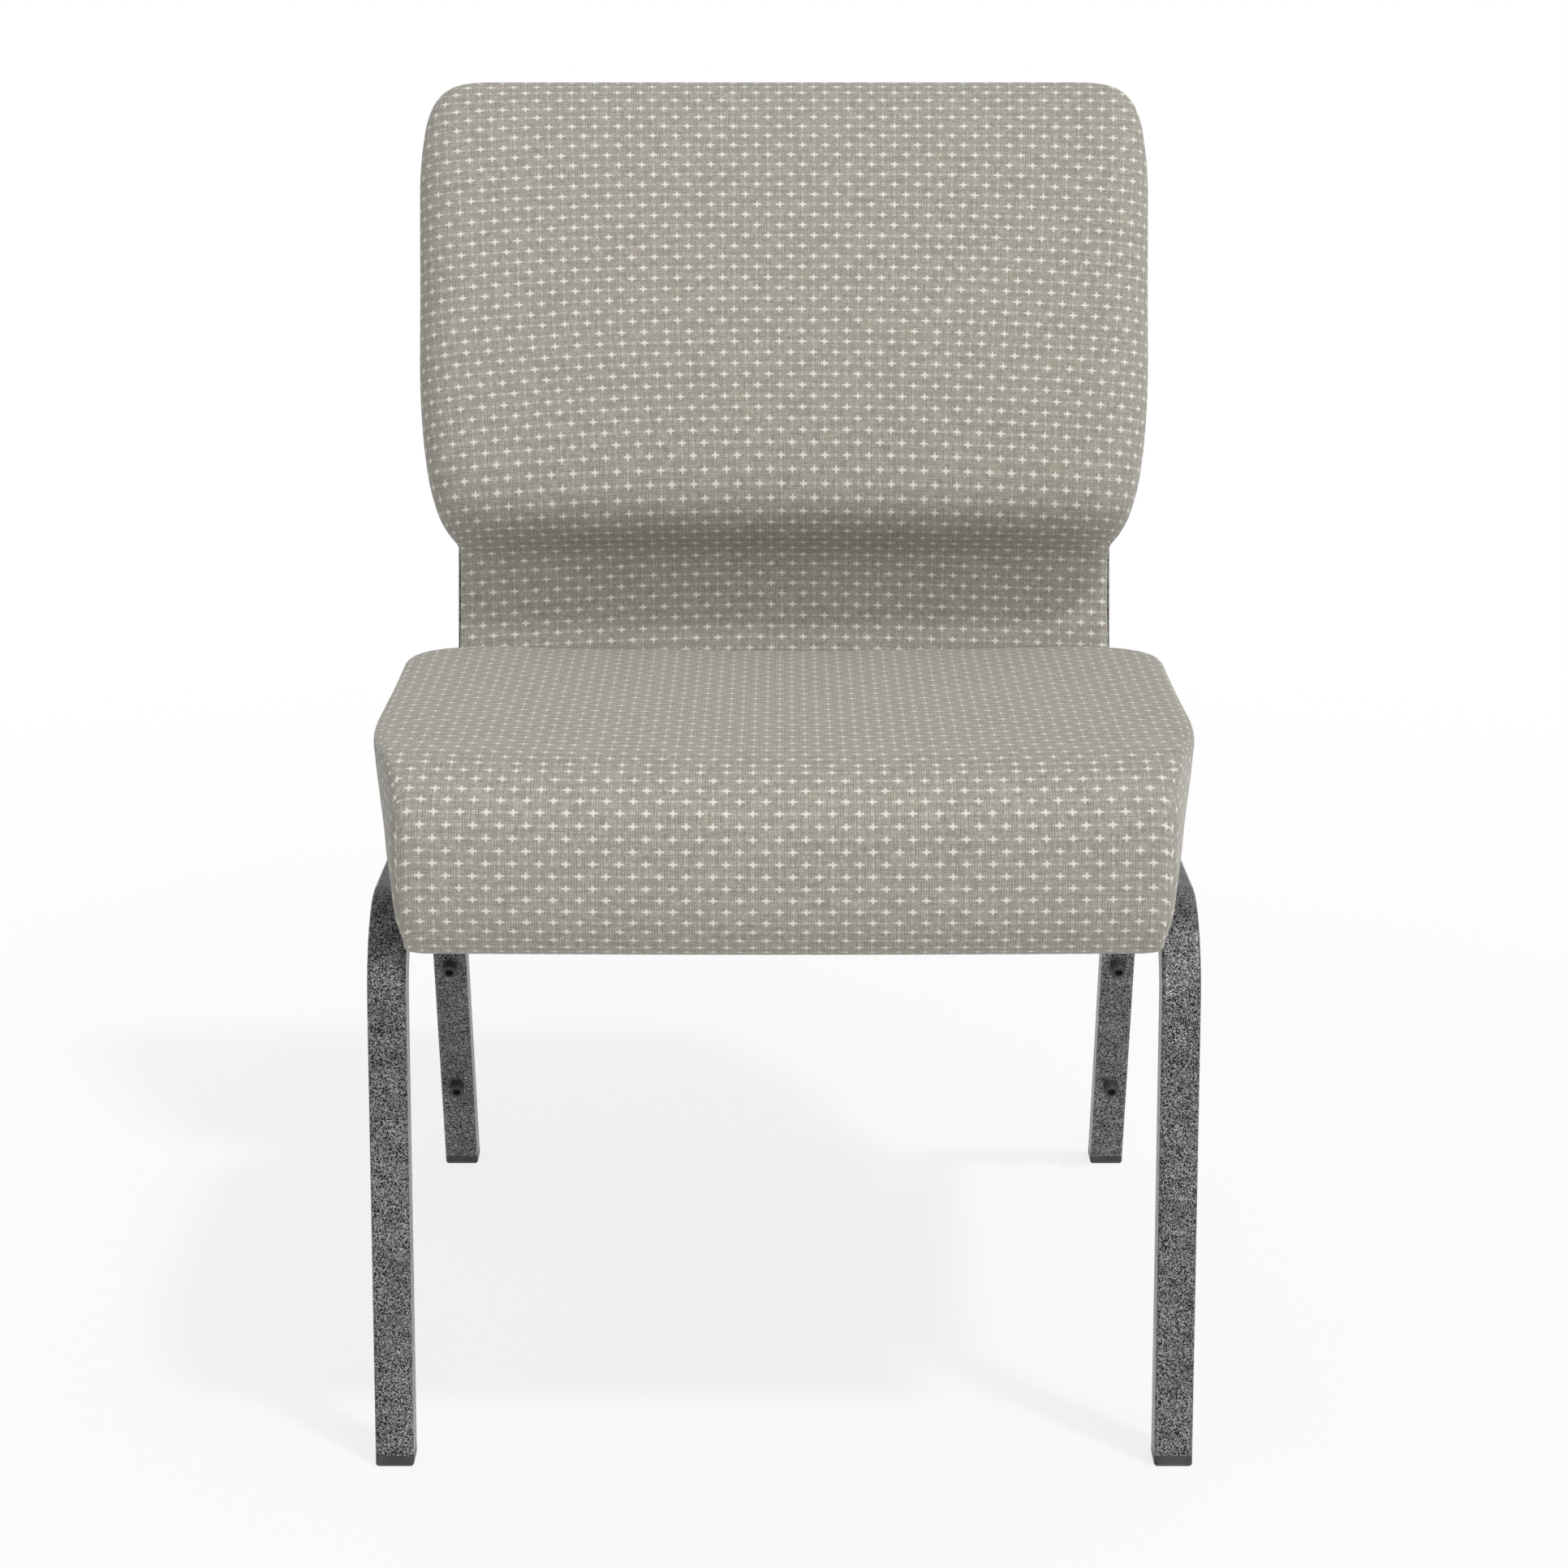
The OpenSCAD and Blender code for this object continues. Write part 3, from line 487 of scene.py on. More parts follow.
def moulded(name, colour, lighter, grain, roughness, depth):
    """Black plastic or rubber with a fine moulded grain"""
    f = Finish(name)
    place = f.place()
    fine = f.noise(place, grain, 3, 0.6)
    broad = f.noise(place, grain / 14, 2)
    return f.surface(
        Base_Color=f.tint(broad.fade(0.3, 0.7) * 0.7 + fine * 0.3, colour, lighter),
        Roughness=fine.fade(0.2, 0.8, roughness - 0.08, roughness + 0.08),
        Normal=f.bump(fine, depth, 0.5),
    )


def plywood(name):
    f = Finish(name)
    x, y, z = f.split(f.place())
    grain = f.noise(f.join(x * 9, y, z * 5), 42, 4, 0.6, 0.6)
    plies = abs((y + z).from_line(0.0028)).fade(0.36, 0.5)
    colour = f.tint(grain.fade(0.3, 0.7), srgb(196, 158, 108), srgb(224, 192, 146))
    return f.surface(Base_Color=colour, Roughness=0.72, Normal=f.bump(grain + plies * 0.2, 0.0002, 0.5))


def hardboard(name):
    f = Finish(name)
    fibre = f.noise(f.place(), 620, 4, 0.65)
    colour = f.tint(fibre, srgb(92, 62, 38), srgb(132, 94, 60))
    return f.surface(Base_Color=colour, Roughness=0.68, Normal=f.bump(fibre, 0.00015, 0.6))


def zinc(name):
    f = Finish(name)
    spangle = f.noise(f.place(), 480, 3, 0.6)
    colour = f.tint(spangle, srgb(168, 170, 172), srgb(206, 208, 206))
    return f.surface(
        Base_Color=colour, Metallic=1.0, Roughness=spangle.fade(0.2, 0.8, 0.28, 0.42),
        Normal=f.bump(spangle, 0.00005, 0.4),
    )


WELD_POINT_GAP = 1.6  # of the dust cloth, in millimetres


def dust_cloth(name):
    """Black pressed cloth with a grid of tiny welded points"""
    f = Finish(name)
    u, v, _ = f.split(f.node("ShaderNodeUVMap", {"uv_map": "weave"}))
    aside, along = u.from_line(WELD_POINT_GAP), v.from_line(WELD_POINT_GAP)
    points = (aside * aside + along * along).fade(0.10, 0.03)
    fibre = f.noise(f.join(u, v), 1.4, 4, 0.7)
    colour = f.tint(fibre.fade(0.25, 0.75) * 0.8 + points * 0.2, srgb(22, 22, 23), srgb(52, 52, 53))
    return f.surface(
        Base_Color=colour, Roughness=0.88, Sheen_Weight=0.1,
        Normal=f.bump(fibre * 0.5 - points * 0.5, 0.0002, 0.7),
    )


FABRIC_BASE = srgb(175, 171, 161)
FABRIC_DEEP = srgb(140, 135, 125)
FABRIC_STAR = srgb(220, 219, 211)
seat_cloth = star_cloth("seat_star_cloth", FABRIC_BASE, FABRIC_DEEP, FABRIC_STAR, 43.0, -10.4)
back_cloth = star_cloth("back_star_cloth", FABRIC_BASE, FABRIC_DEEP, FABRIC_STAR, 24.0)
outer_cloth = star_cloth("outer_back_star_cloth", FABRIC_BASE, FABRIC_DEEP, FABRIC_STAR)
frame_paint = vein_paint("silver_vein_paint")
glide_plastic = moulded("glide_plastic", srgb(40, 40, 41), srgb(62, 62, 63), 900, 0.5, 0.00006)
bumper_rubber = moulded("bumper_rubber", srgb(44, 44, 45), srgb(58, 58, 59), 700, 0.48, 0.00005)
clip_plastic = moulded("clip_plastic", srgb(28, 28, 29), srgb(44, 44, 45), 900, 0.5, 0.00005)
board_ply = plywood("birch_plywood")
board_fibre = hardboard("brown_hardboard")
screw_zinc = zinc("bright_zinc")
under_cloth = dust_cloth("black_dust_cloth")

CAD_FINISHES = {
    "side_frame": frame_paint,
    "crossbar": frame_paint,
    "hoop": frame_paint,
    "glide": glide_plastic,
    "bumper": bumper_rubber,
    "clips": clip_plastic,
    "outer_back_board": board_fibre,
    "board": board_ply,
    "tnuts": screw_zinc,
    "screws": screw_zinc,
}
for name, cad_node in nodes.items():
    for word, finish in CAD_FINISHES.items():
        if word in name:
            if not cad_node.material_slots:
                cad_node.data.materials.append(finish)
            for holder in cad_node.material_slots:
                holder.material = finish
            break

# Cushion covers under the push of their foam
PLUMP_FRAMES = 12
PLUMP_MOST = 1.3 * MM
PLUMP_PUSH = 6.0


def plump(piece, held_share):
    """Simulate a cover as cloth blown out from inside, held where held_share is 1.

    The movement is smoothed, its median swell is taken off, and it is scaled down until 99 of
    100 points move PLUMP_MOST or less, so that the fitted outline stays. It then moves the
    cover's own points, and no modifier stays."""
    scene = bpy.context.scene
    trial = piece.copy()
    trial.data = piece.data.copy()
    trial.name = "trial_cover"
    scene.collection.objects.link(trial)
    held = trial.vertex_groups.new(name="held")
    for level in range(11):
        held.add(np.flatnonzero(np.round(held_share * 10) == level).tolist(), level / 10, "REPLACE")
    cover = trial.modifiers.new("cover", "CLOTH")
    cover.settings.quality = 4
    cover.settings.mass = 0.25
    cover.settings.tension_stiffness = cover.settings.compression_stiffness = 30
    cover.settings.shear_stiffness = 12
    cover.settings.bending_stiffness = 1.5
    cover.settings.shrink_min = -0.006
    cover.settings.use_pressure = True
    cover.settings.uniform_pressure_force = PLUMP_PUSH
    cover.settings.vertex_group_mass = "held"
    cover.settings.effector_weights.gravity = 0
    cover.point_cache.frame_start, cover.point_cache.frame_end = 1, PLUMP_FRAMES
    for at in range(1, PLUMP_FRAMES + 1):
        scene.frame_set(at)
    settled = trial.evaluated_get(bpy.context.evaluated_depsgraph_get()).data
    count = len(piece.data.vertices)
    before, after, out = [np.empty(count * 3, np.float32) for _ in range(3)]
    piece.data.vertices.foreach_get("co", before)
    settled.vertices.foreach_get("co", after)
    piece.data.vertices.foreach_get("normal", out)
    push, out = [v.reshape(-1, 3).astype(float) for v in (after - before, out)]
    ends = np.array([e.vertices[:] for e in piece.data.edges])
    joined = np.bincount(ends.ravel(), minlength=count)[:, None]
    for _ in range(12):
        near = np.zeros_like(push)
        np.add.at(near, ends[:, 0], push[ends[:, 1]])
        np.add.at(near, ends[:, 1], push[ends[:, 0]])
        push = (push + near / joined) / 2
    swell = np.sum(push * out, axis=1, keepdims=True)
    free = (1 - held_share)[:, None]
    push -= out * free * np.median(swell[held_share < 0.5])
    size = np.linalg.norm(push, axis=1)
    push *= min(1.0, PLUMP_MOST / np.percentile(size, 99))
    piece.data.vertices.foreach_set("co", (before + push.ravel()).astype(np.float32))
    piece.data.update()
    bpy.data.objects.remove(trial)
    scene.frame_set(1)


# Seat cushion. Each row: height, then the nose's roll, the sides' draw, the front corners' draw
# and the rear's draw, as in the part's own table
SEAT_ROWS = [
    [0.00, 0.66, 1.00, 0.65, 1.00],
    [0.03, 0.40, 0.90, 0.28, 0.98],
    [0.08, 0.20, 0.83, 0.36, 0.92],
    [0.146, 0.11, 0.77, 0.16, 0.86],
    [0.19, 0.07, 0.60, 0.05, 0.80],
    [0.27, 0.035, 0.41, -0.05, 0.70],
    [0.39, 0.01, 0.26, -0.10, 0.55],
    [0.535, 0.00, 0.20, -0.10, 0.38],
    [0.70, 0.015, 0.11, -0.05, 0.16],
    [0.79, 0.075, 0.06, -0.05, 0.04],
    [0.88, 0.26, 0.02, -0.15, 0.00],
    [0.935, 0.42, 0.00, -0.35, 0.00],
    [0.978, 0.67, 0.06, -0.60, 0.08],
    [1.00, 0.97, 0.32, -0.80, 0.36],
]
SHOULDER_U = 0.12 * (SEAT_NOSE + SEAT_REAR)
FRONT_CUT = 0.03 * SEAT_FRONT_W
SHOULDER_CUT = 0.13 * SEAT_W
REAR_CUT = 0.12 * SEAT_W
LIP_U = NOSE_ROUND - SEAT_NOSE
LIP_LEN = 0.6 * SEAT_NOSE
RISE_U = 0.1 * SEAT_REAR
TAIL_U = 0.55 * SEAT_REAR
TAIL_RISE = 2.8
LIP_SAG = 2.2


def seat_form(x, u, height):
    """Rise of the front and rear edges, dish of the top and drop of the front lip"""
    near_top, near_foot = height**8, (1 - height) ** 12
    return (
        near_top * NOSE_RISE * ease((RISE_U - u) / SEAT_NOSE)
        + near_top * TAIL_RISE * ease((u - TAIL_U) / (SEAT_REAR - TAIL_U))
        - near_top * SEAT_DISH * (1 - (x / (SEAT_W / 2)) ** 2)
        - near_foot * (LIP_DROP + LIP_SAG * (1 - (x / (SEAT_FRONT_W / 2)) ** 2)) * ease((LIP_U - u) / LIP_LEN)
    )


def star_rows(along, anchors):
    """Star rows counted along a length, from a table of lengths and the rows that lie there"""
    return np.interp(along, *zip(*anchors))


# Lengths down from the top's front edge, with the star rows that lie there, as measured in the
# photo. Rows 39 to 42 are stretched over the nose, whose profile is longer than the cloth there.
SEAT_STAR_ROWS = [
    (-1000, -72.5), (-430, -3), (-389, 2), (-344, 8), (-286, 15),
    (-224, 22), (-165.6, 28), (-104, 34), (-61.5, 38),
    (-47.3, 39), (-29, 40), (-9.1, 41), (5.6, 42), (15.8, 43), (24.2, 44), (40.1, 46), (72.6, 50),
    (104, 54), (126.5, 57), (139.5, 59), (145.5, 60), (171, 64), (700, 130),
]
SEAT_STAR_PITCH, SEAT_FACE_PITCH = 16.3, 16.5
SEAT_STAR_SHIFT = 11.0
FACE_ROW_SAG = 1.4
SEAT_ACROSS, SEAT_DEEP = 96, 84


def make_seat():
    scale = np.array([SEAT_THICK, NOSE_ROUND, SEAT_SIDE_DRAW, SEAT_FACE_DRAW, SEAT_REAR_DRAW])
    rings = []
    for height, roll, side, face, rear in smooth_rows(SEAT_ROWS, scale, 3.6):
        height = min(height, 1.0)
        front_u = -SEAT_NOSE + roll * NOSE_ROUND
        rear_u = SEAT_REAR - rear * SEAT_REAR_DRAW
        face_x = SEAT_FRONT_W / 2 - face * SEAT_FACE_DRAW
        side_x = SEAT_W / 2 - side * SEAT_SIDE_DRAW
        line, middles = rounded_line(
            [(0, front_u), (face_x, front_u), (side_x, SHOULDER_U), (side_x, rear_u), (0, rear_u)],
            (FRONT_CUT, SHOULDER_CUT, REAR_CUT),
        )
        sides = four_sides(line, (middles[0], middles[2]), SEAT_ACROSS, SEAT_DEEP)
        ring = np.concatenate([side_points[:-1] for side_points in sides])
        level = SEAT_BOTTOM + height * SEAT_THICK + seat_form(ring[:, 0], ring[:, 1], height)
        rings.append(np.column_stack([ring, level]))
        if len(rings) == 1:
            low_sides = sides
    rings = np.array(rings)
    low, high = [
        np.dstack([g, SEAT_BOTTOM + height * SEAT_THICK + seat_form(g[..., 0], g[..., 1], height)])
        for g, height in ((coons(*low_sides), 0.0), (coons(*sides), 1.0))
    ]
    skin = BoxSkin(rings, low, high, SEAT_ACROSS, SEAT_DEEP)
    steps = np.linalg.norm(np.diff(rings, axis=0), axis=2)
    drop = np.concatenate([np.cumsum(steps[::-1], axis=0)[::-1], np.zeros((1, skin.round))])
    top = rings[-1]
    edge_u = top[SEAT_ACROSS // 2, 1]

    def weave(across, along, face=0.0):
        pitch = blend(SEAT_STAR_PITCH, SEAT_FACE_PITCH, face)
        sag = face * FACE_ROW_SAG * (across / (SEAT_FRONT_W / 2)) ** 2
        rows = star_rows(along + edge_u - sag, SEAT_STAR_ROWS)
        return np.dstack([(across + SEAT_STAR_SHIFT) / pitch, rows])

    def side_of(start, count):
        return [(start + k) % skin.round for k in range(count + 1)]

    front, right = side_of(0, SEAT_ACROSS), side_of(SEAT_ACROSS, SEAT_DEEP)
    rear = side_of(SEAT_ACROSS + SEAT_DEEP, SEAT_ACROSS)
    left = side_of(2 * SEAT_ACROSS + SEAT_DEEP, SEAT_DEEP)
    x, u = rings[..., 0], rings[..., 1]
    round_again = np.arange(skin.round + 1) % skin.round
    turns = np.linalg.norm(np.diff(rings[:, round_again, :2], axis=1), axis=2)
    around = np.concatenate([np.zeros((len(rings), 1)), np.cumsum(turns, axis=1)], axis=1)

    def round_from(start, count, middle):
        """Lengths round the rings over one side, counted from its middle"""
        return around[:, start : start + count + 1] - around[:, start + middle][:, None]

    skin.wall(front[0], weave(x[:, front], drop[:, front] - top[front, 1], ease(drop[:, front] / 110)))
    half = SEAT_DEEP // 2
    for places, sign in ((right, 1), (left, -1)):
        back_along = sign * round_from(places[0], SEAT_DEEP, half) + u[:, places[half]][:, None]
        skin.wall(places[0], weave(sign * drop[:, places] + top[places, 0], -back_along))
    rear_across = -round_from(rear[0], SEAT_ACROSS, SEAT_ACROSS // 2)
    skin.wall(rear[0], weave(rear_across, -drop[:, rear] - top[rear, 1]))
    skin.cap(0, weave(low[..., 0], low[..., 1]))
    skin.cap(1, weave(high[..., 0], -high[..., 1]))
    cushion = skin.piece("seat_cushion", from_seat, seat_cloth, "seat_fabric")
    plump(cushion, 1 - ease((skin.points[:, 2] - SEAT_BOTTOM - 4) / 24))
    return cushion


# Back upholstery. Each row: height up the pad, width and thickness from the panel's to the pad's,
# and how far the rear has come round the hoop
BACK_ROWS = [
    [-0.095, 0.00, 0.005, 0.00],
    [-0.065, 0.00, 0.06, 0.00],
    [-0.035, 0.00, 0.155, 0.00],
    [-0.012, -0.01, 0.265, 0.00],
    [0.004, 0.03, 0.43, 0.10],
    [0.016, 0.135, 0.605, 0.30],
    [0.032, 0.27, 0.77, 0.80],
    [0.055, 0.425, 0.89, 1.00],
    [0.085, 0.55, 0.97, 1.00],
    [0.125, 0.68, 1.005, 1.00],
    [0.180, 0.79, 1.005, 1.00],
    [0.250, 0.885, 0.98, 1.00],
    [0.340, 0.955, 0.92, 1.00],
    [0.450, 0.977, 0.82, 1.00],
    [0.570, 0.995, 0.69, 1.00],
    [0.690, 1.03, 0.54, 1.00],
    [0.790, 1.04, 0.395, 1.00],
    [0.865, 0.97, 0.26, 1.00],
    [0.918, 0.855, 0.14, 1.00],
    [0.955, 0.667, 0.03, 1.00],
    [0.968, 0.546, -0.02, 0.98],
    [0.980, 0.38, -0.075, 0.95],
    [0.988, 0.205, -0.13, 0.91],
    [0.994, -0.025, -0.18, 0.86],
    [0.998, -0.33, -0.235, 0.80],
    [1.000, -0.60, -0.28, 0.74],
]
BOARD_BACK_Y = -HOOP_TUBE / 2
BOARD_FACE_Y = BOARD_BACK_Y - BACK_BOARD_T
OUTER_Y = HOOP_TUBE / 2 + COVER_T
CREASE_V = BACK_H - PAD_H
PAD_CUT_MAX = 0.07 * PAD_W
PANEL_CUT = 0.35 * PANEL_THICK
# How far the panel's sides draw in, by the height up the back, so that the hoop shows beside them
PANEL_DRAW = [(12, 0.2), (80, 0.4), (118, 1.5), (158, 1.7), (176, 0.0)]
BACK_ACROSS, BACK_DEEP = 96, 22
# Star pitch across and the cloth's shift sideways, by the height up the back
BACK_STAR_PITCHES = [
    (12, 15.4), (166, 15.5), (233, 15.55), (268, 15.7), (331, 16.1), (387, 16.3), (505, 16.75),
]
BACK_STAR_SHIFTS = [(12, 1.5), (200, 1.6), (320, 3.4), (420, 2.9), (505, 3.7)]
# How far the rows bend down at the left and the right, by the height up the back
BACK_ROW_SAGS = [
    (12, 9.2, 6.6), (153, 9.2, 6.4), (215, 9.6, 6.8), (245, 10.9, 7.5), (275, 10.0, 6.1), (305, 9.2, 5.9),
    (335, 8.4, 5.8), (365, 8.1, 5.6), (395, 7.2, 4.5), (425, 6.4, 3.7), (454, 5.6, 2.2), (484, 4.0, 0.6),
    (507, 2.0, 0.2),
]
# Half width at which they bend by that much, the most of it that counts, and how steeply they
# bend towards it
SAG_X = 241.0
SAG_X_MOST = 1.12
BACK_SAG_POWERS = [
    (12, 1.6), (170, 1.6), (212, 2.2), (330, 2.3), (390, 2.5), (425, 2.9), (454, 4.0), (484, 6.0), (507, 6.0),
]
# Lengths down from the top edge, with the star rows that lie there
BACK_STAR_ROWS = [
    (-60, -10), (0, -2.7), (18.6, 0), (49.4, 4), (112.2, 12), (207.7, 24), (263.4, 31), (279.7, 33),
    (297.7, 35), (318.2, 37), (338.5, 39), (357.1, 41), (376.3, 43), (392.5, 45), (408.6, 47),
    (463.6, 54), (900, 109),
]


def make_back():
    foot = [[(v - CREASE_V) / PAD_H, 0.0, 0.0, 0.0] for v in (PANEL_FOOT, 55.0, 100.0)]
    scale = np.array([PAD_H, (PAD_W - PANEL_W) / 2, PAD_THICK - PANEL_THICK, HOOP_TUBE])
    rings = []
    for height, width, thick, wrap in smooth_rows(foot + BACK_ROWS, scale, 4.2):
        v = CREASE_V + height * PAD_H
        half = blend(PANEL_W, PAD_W, width) / 2 - np.interp(v, *zip(*PANEL_DRAW))
        front_y = BOARD_FACE_Y - blend(PANEL_THICK, PAD_THICK - PAD_CROWN, thick)
        rear_y = blend(BOARD_BACK_Y + 0.2, OUTER_Y, wrap)
        cut = min(PAD_CUT_MAX, max(PANEL_CUT, 0.62 * (rear_y - front_y - PANEL_THICK)))
        line, middles = rounded_line(
            [(0, front_y), (half, front_y), (half, rear_y), (0, rear_y)], (cut, PANEL_CUT))
        sides = four_sides(line, (middles[0], middles[1]), BACK_ACROSS, BACK_DEEP)
        crown = PAD_CROWN * max(0, thick)
        for points in sides:
            ahead = ease((BOARD_FACE_Y - points[:, 1]) / 6)
            points[:, 1] -= crown * ahead * (1 - (points[:, 0] / half) ** 2)
        ring = np.concatenate([points[:-1] for points in sides])
        rings.append(np.column_stack([ring, np.full(len(ring), v)]))
        if len(rings) == 1:
            low_sides = sides
    rings = np.array(rings)
    low, high = [
        np.dstack([g, np.full(g.shape[:2], v)])
        for g, v in ((coons(*low_sides), rings[0, 0, 2]), (coons(*sides), rings[-1, 0, 2]))
    ]
    skin = BoxSkin(rings, low, high, BACK_ACROSS, BACK_DEEP)

    middle = rings[:, BACK_ACROSS // 2]
    down = lengths_along(middle[:, 1:])
    down = down[-1] - down
    height, *sags = zip(*BACK_ROW_SAGS)
    left_sag, right_sag = [np.interp(rings[:, 0, 2], height, sag)[:, None] for sag in sags]
    sag_power = np.interp(rings[:, 0, 2], *zip(*BACK_SAG_POWERS))[:, None]
    pitch = np.interp(rings[:, 0, 2], *zip(*BACK_STAR_PITCHES))
    moved = np.interp(rings[:, 0, 2], *zip(*BACK_STAR_SHIFTS))
    around = np.linalg.norm(np.roll(rings, -1, axis=1) - rings, axis=2)
    along = np.concatenate([np.zeros((len(rings), 1)), np.cumsum(around, axis=1)], axis=1)
    along += moved[:, None] - along[:, BACK_ACROSS // 2][:, None]
    total = (along[:, -1] - along[:, 0])[:, None]

    def wall(start, count, shift=0.0):
        across = along[:, start : start + count + 1] - shift * total
        share = np.minimum(abs(across) / SAG_X, SAG_X_MOST) ** sag_power
        bend = share * np.where(across < 0, left_sag, right_sag)
        rows = star_rows(down[:, None] - bend, BACK_STAR_ROWS)
        skin.wall(start, np.dstack([across / pitch[:, None], rows]))

    wall(0, BACK_ACROSS)
    wall(BACK_ACROSS, BACK_DEEP)
    wall(BACK_ACROSS + BACK_DEEP, BACK_ACROSS)
    wall(2 * BACK_ACROSS + BACK_DEEP, BACK_DEEP, 1.0)
    skin.cap(0, np.dstack([low[..., 0], low[..., 1]]) / STAR_PITCH)
    lid = star_rows(0, BACK_STAR_ROWS) - (high[..., 1] - high[BACK_ACROSS // 2, 0, 1]) / ROW_PITCH
    skin.cap(1, np.dstack([(high[..., 0] + moved[-1]) / pitch[-1], lid]))
    cushion = skin.piece("back_cushion", from_back, back_cloth, "back_fabric")
    plump(cushion, 1 - ease((BOARD_FACE_Y - PANEL_THICK - skin.points[:, 1]) / 24))
    return cushion


# Outer back: cloth stretched over the hardboard and turned in at its edge
OUTER_MARGIN = 1.5
OUTER_FACE = OUTER_BOARD_T + COVER_T
OUTER_PITCH = 16.2
OUTER_ACROSS, OUTER_TALL = 90, 96
# Inset from the cloth's edge and depth behind the hoop, from the face round the edge to the inside
OUTER_RINGS = [
    (2.6, OUTER_FACE), (1.5, OUTER_FACE - 0.12), (0.6, OUTER_FACE - 0.5), (0.12, OUTER_FACE - 1.2),
    (0.0, 3.0), (0.0, 0.8), (0.15, 0.3), (0.5, 0.05), (1.4, 0.0), (1.5, 0.3), (1.52, 2.0),
    (1.55, OUTER_BOARD_T + 0.05),
]


def make_outer_back():
    rows = smooth_rows(BACK_ROWS, np.array([PAD_H, (PAD_W - PANEL_W) / 2, PAD_THICK, HOOP_TUBE]), 6.0)
    side = [(blend(PANEL_W, PAD_W, width) / 2, CREASE_V + height * PAD_H) for height, width, *_ in rows]
    side = [(x, v) for x, v in side if v < BACK_H - OUTER_MARGIN]
    rings = []
    for inset, depth in OUTER_RINGS:
        margin = OUTER_MARGIN + inset
        top = BACK_H - OUTER_MARGIN - inset
        corners = [(0, PANEL_FOOT + inset), (PANEL_W / 2 - margin, PANEL_FOOT + inset)]
        corners += [(x - margin, min(v, top)) for x, v in side] + [(0, top)]
        line, middles = rounded_line(corners, [3.0] * (len(corners) - 2), 4)
        across = four_sides(line, (middles[0], middles[-4]), OUTER_ACROSS, OUTER_TALL)
        ring = np.concatenate([points[:-1] for points in across])
        rings.append(np.column_stack([ring[:, 0], np.full(len(ring), OUTER_Y + depth), ring[:, 1]]))
        if len(rings) == 1:
            face_sides = across
    rings = np.array(rings)
    face, inside = [
        np.dstack([g[..., 0], np.full(g.shape[:2], y), g[..., 1]])
        for g, y in ((coons(*face_sides), rings[0, 0, 1]), (coons(*across), rings[-1, 0, 1]))
    ]
    skin = BoxSkin(rings, face, inside, OUTER_ACROSS, OUTER_TALL)

    def weave(points):
        return np.dstack([points[..., 0] / OUTER_PITCH, (BACK_H - points[..., 2]) / ROW_PITCH])

    round_again = np.arange(skin.round + 1) % skin.round
    skin.wall(0, weave(rings[:, round_again]))
    skin.cap(0, weave(face))
    skin.cap(1, weave(inside))
    return skin.piece("outer_back_panel", from_back, outer_cloth, "back_fabric"), area_within(corners)


# Black cloth under the seat, stapled to the board's edge
DUST_MARGIN = 9.0
DUST_ACROSS, DUST_DEEP = 48, 44
DUST_SAG = 1.2
STAPLE_GAP = 44.0
STAPLE_INSET = 6.0
BAR_TOP = SEAT_BOTTOM - DUST_T


def dust_line(margin):
    _, _, side, face, rear = SEAT_ROWS[1]
    side_x = SEAT_W / 2 - side * SEAT_SIDE_DRAW - margin
    rear_u = SEAT_REAR - rear * SEAT_REAR_DRAW - margin
    corners = [
        (0, LIP_U + margin), (SEAT_FRONT_W / 2 - face * SEAT_FACE_DRAW - margin, LIP_U + margin),
        (side_x, SHOULDER_U), (side_x, rear_u), (0, rear_u),
    ]
    return rounded_line(corners, (FRONT_CUT, SHOULDER_CUT, REAR_CUT))


def make_dust_cloth():
    line, middles = dust_line(DUST_MARGIN)
    sides = four_sides(line, (middles[0], middles[2]), DUST_ACROSS, DUST_DEEP)
    ring = np.concatenate([points[:-1] for points in sides])
    grid = coons(*sides)
    s = np.linspace(0, 1, DUST_ACROSS + 1)[:, None]
    t = np.linspace(0, 1, DUST_DEEP + 1)[None]
    from_edge = np.minimum(np.minimum(s, 1 - s) * 2 * line[:, 0].max(), np.minimum(t, 1 - t) * 360)
    from_bar = np.min([abs(grid[..., 1] - u) - BAR_W / 2 for u in BAR_PLACES], axis=0)
    wave = 0.75 + 0.25 * np.sin(grid[..., 0] / 31 + grid[..., 1] / 53) * np.cos(grid[..., 1] / 23)
    sag = DUST_SAG * ease((from_edge - 14) / 50) * ease(from_bar / 45) * wave
    levels = np.array([BAR_TOP, BAR_TOP + 0.15, SEAT_BOTTOM - 0.15, SEAT_BOTTOM])
    rings = np.array([np.column_stack([ring, np.full(len(ring), w)]) for w in levels])
    low, high = [np.dstack([grid, w - sag]) for w in (levels[0], levels[-1])]
    skin = BoxSkin(rings, low, high, DUST_ACROSS, DUST_DEEP)
    round_again = np.arange(skin.round + 1) % skin.round
    skin.wall(0, rings[:, round_again][..., :2])
    skin.cap(0, grid)
    skin.cap(1, grid)
    return skin.piece("under_seat_cloth", from_seat, under_cloth, "dust_cloth"), area_within(line)


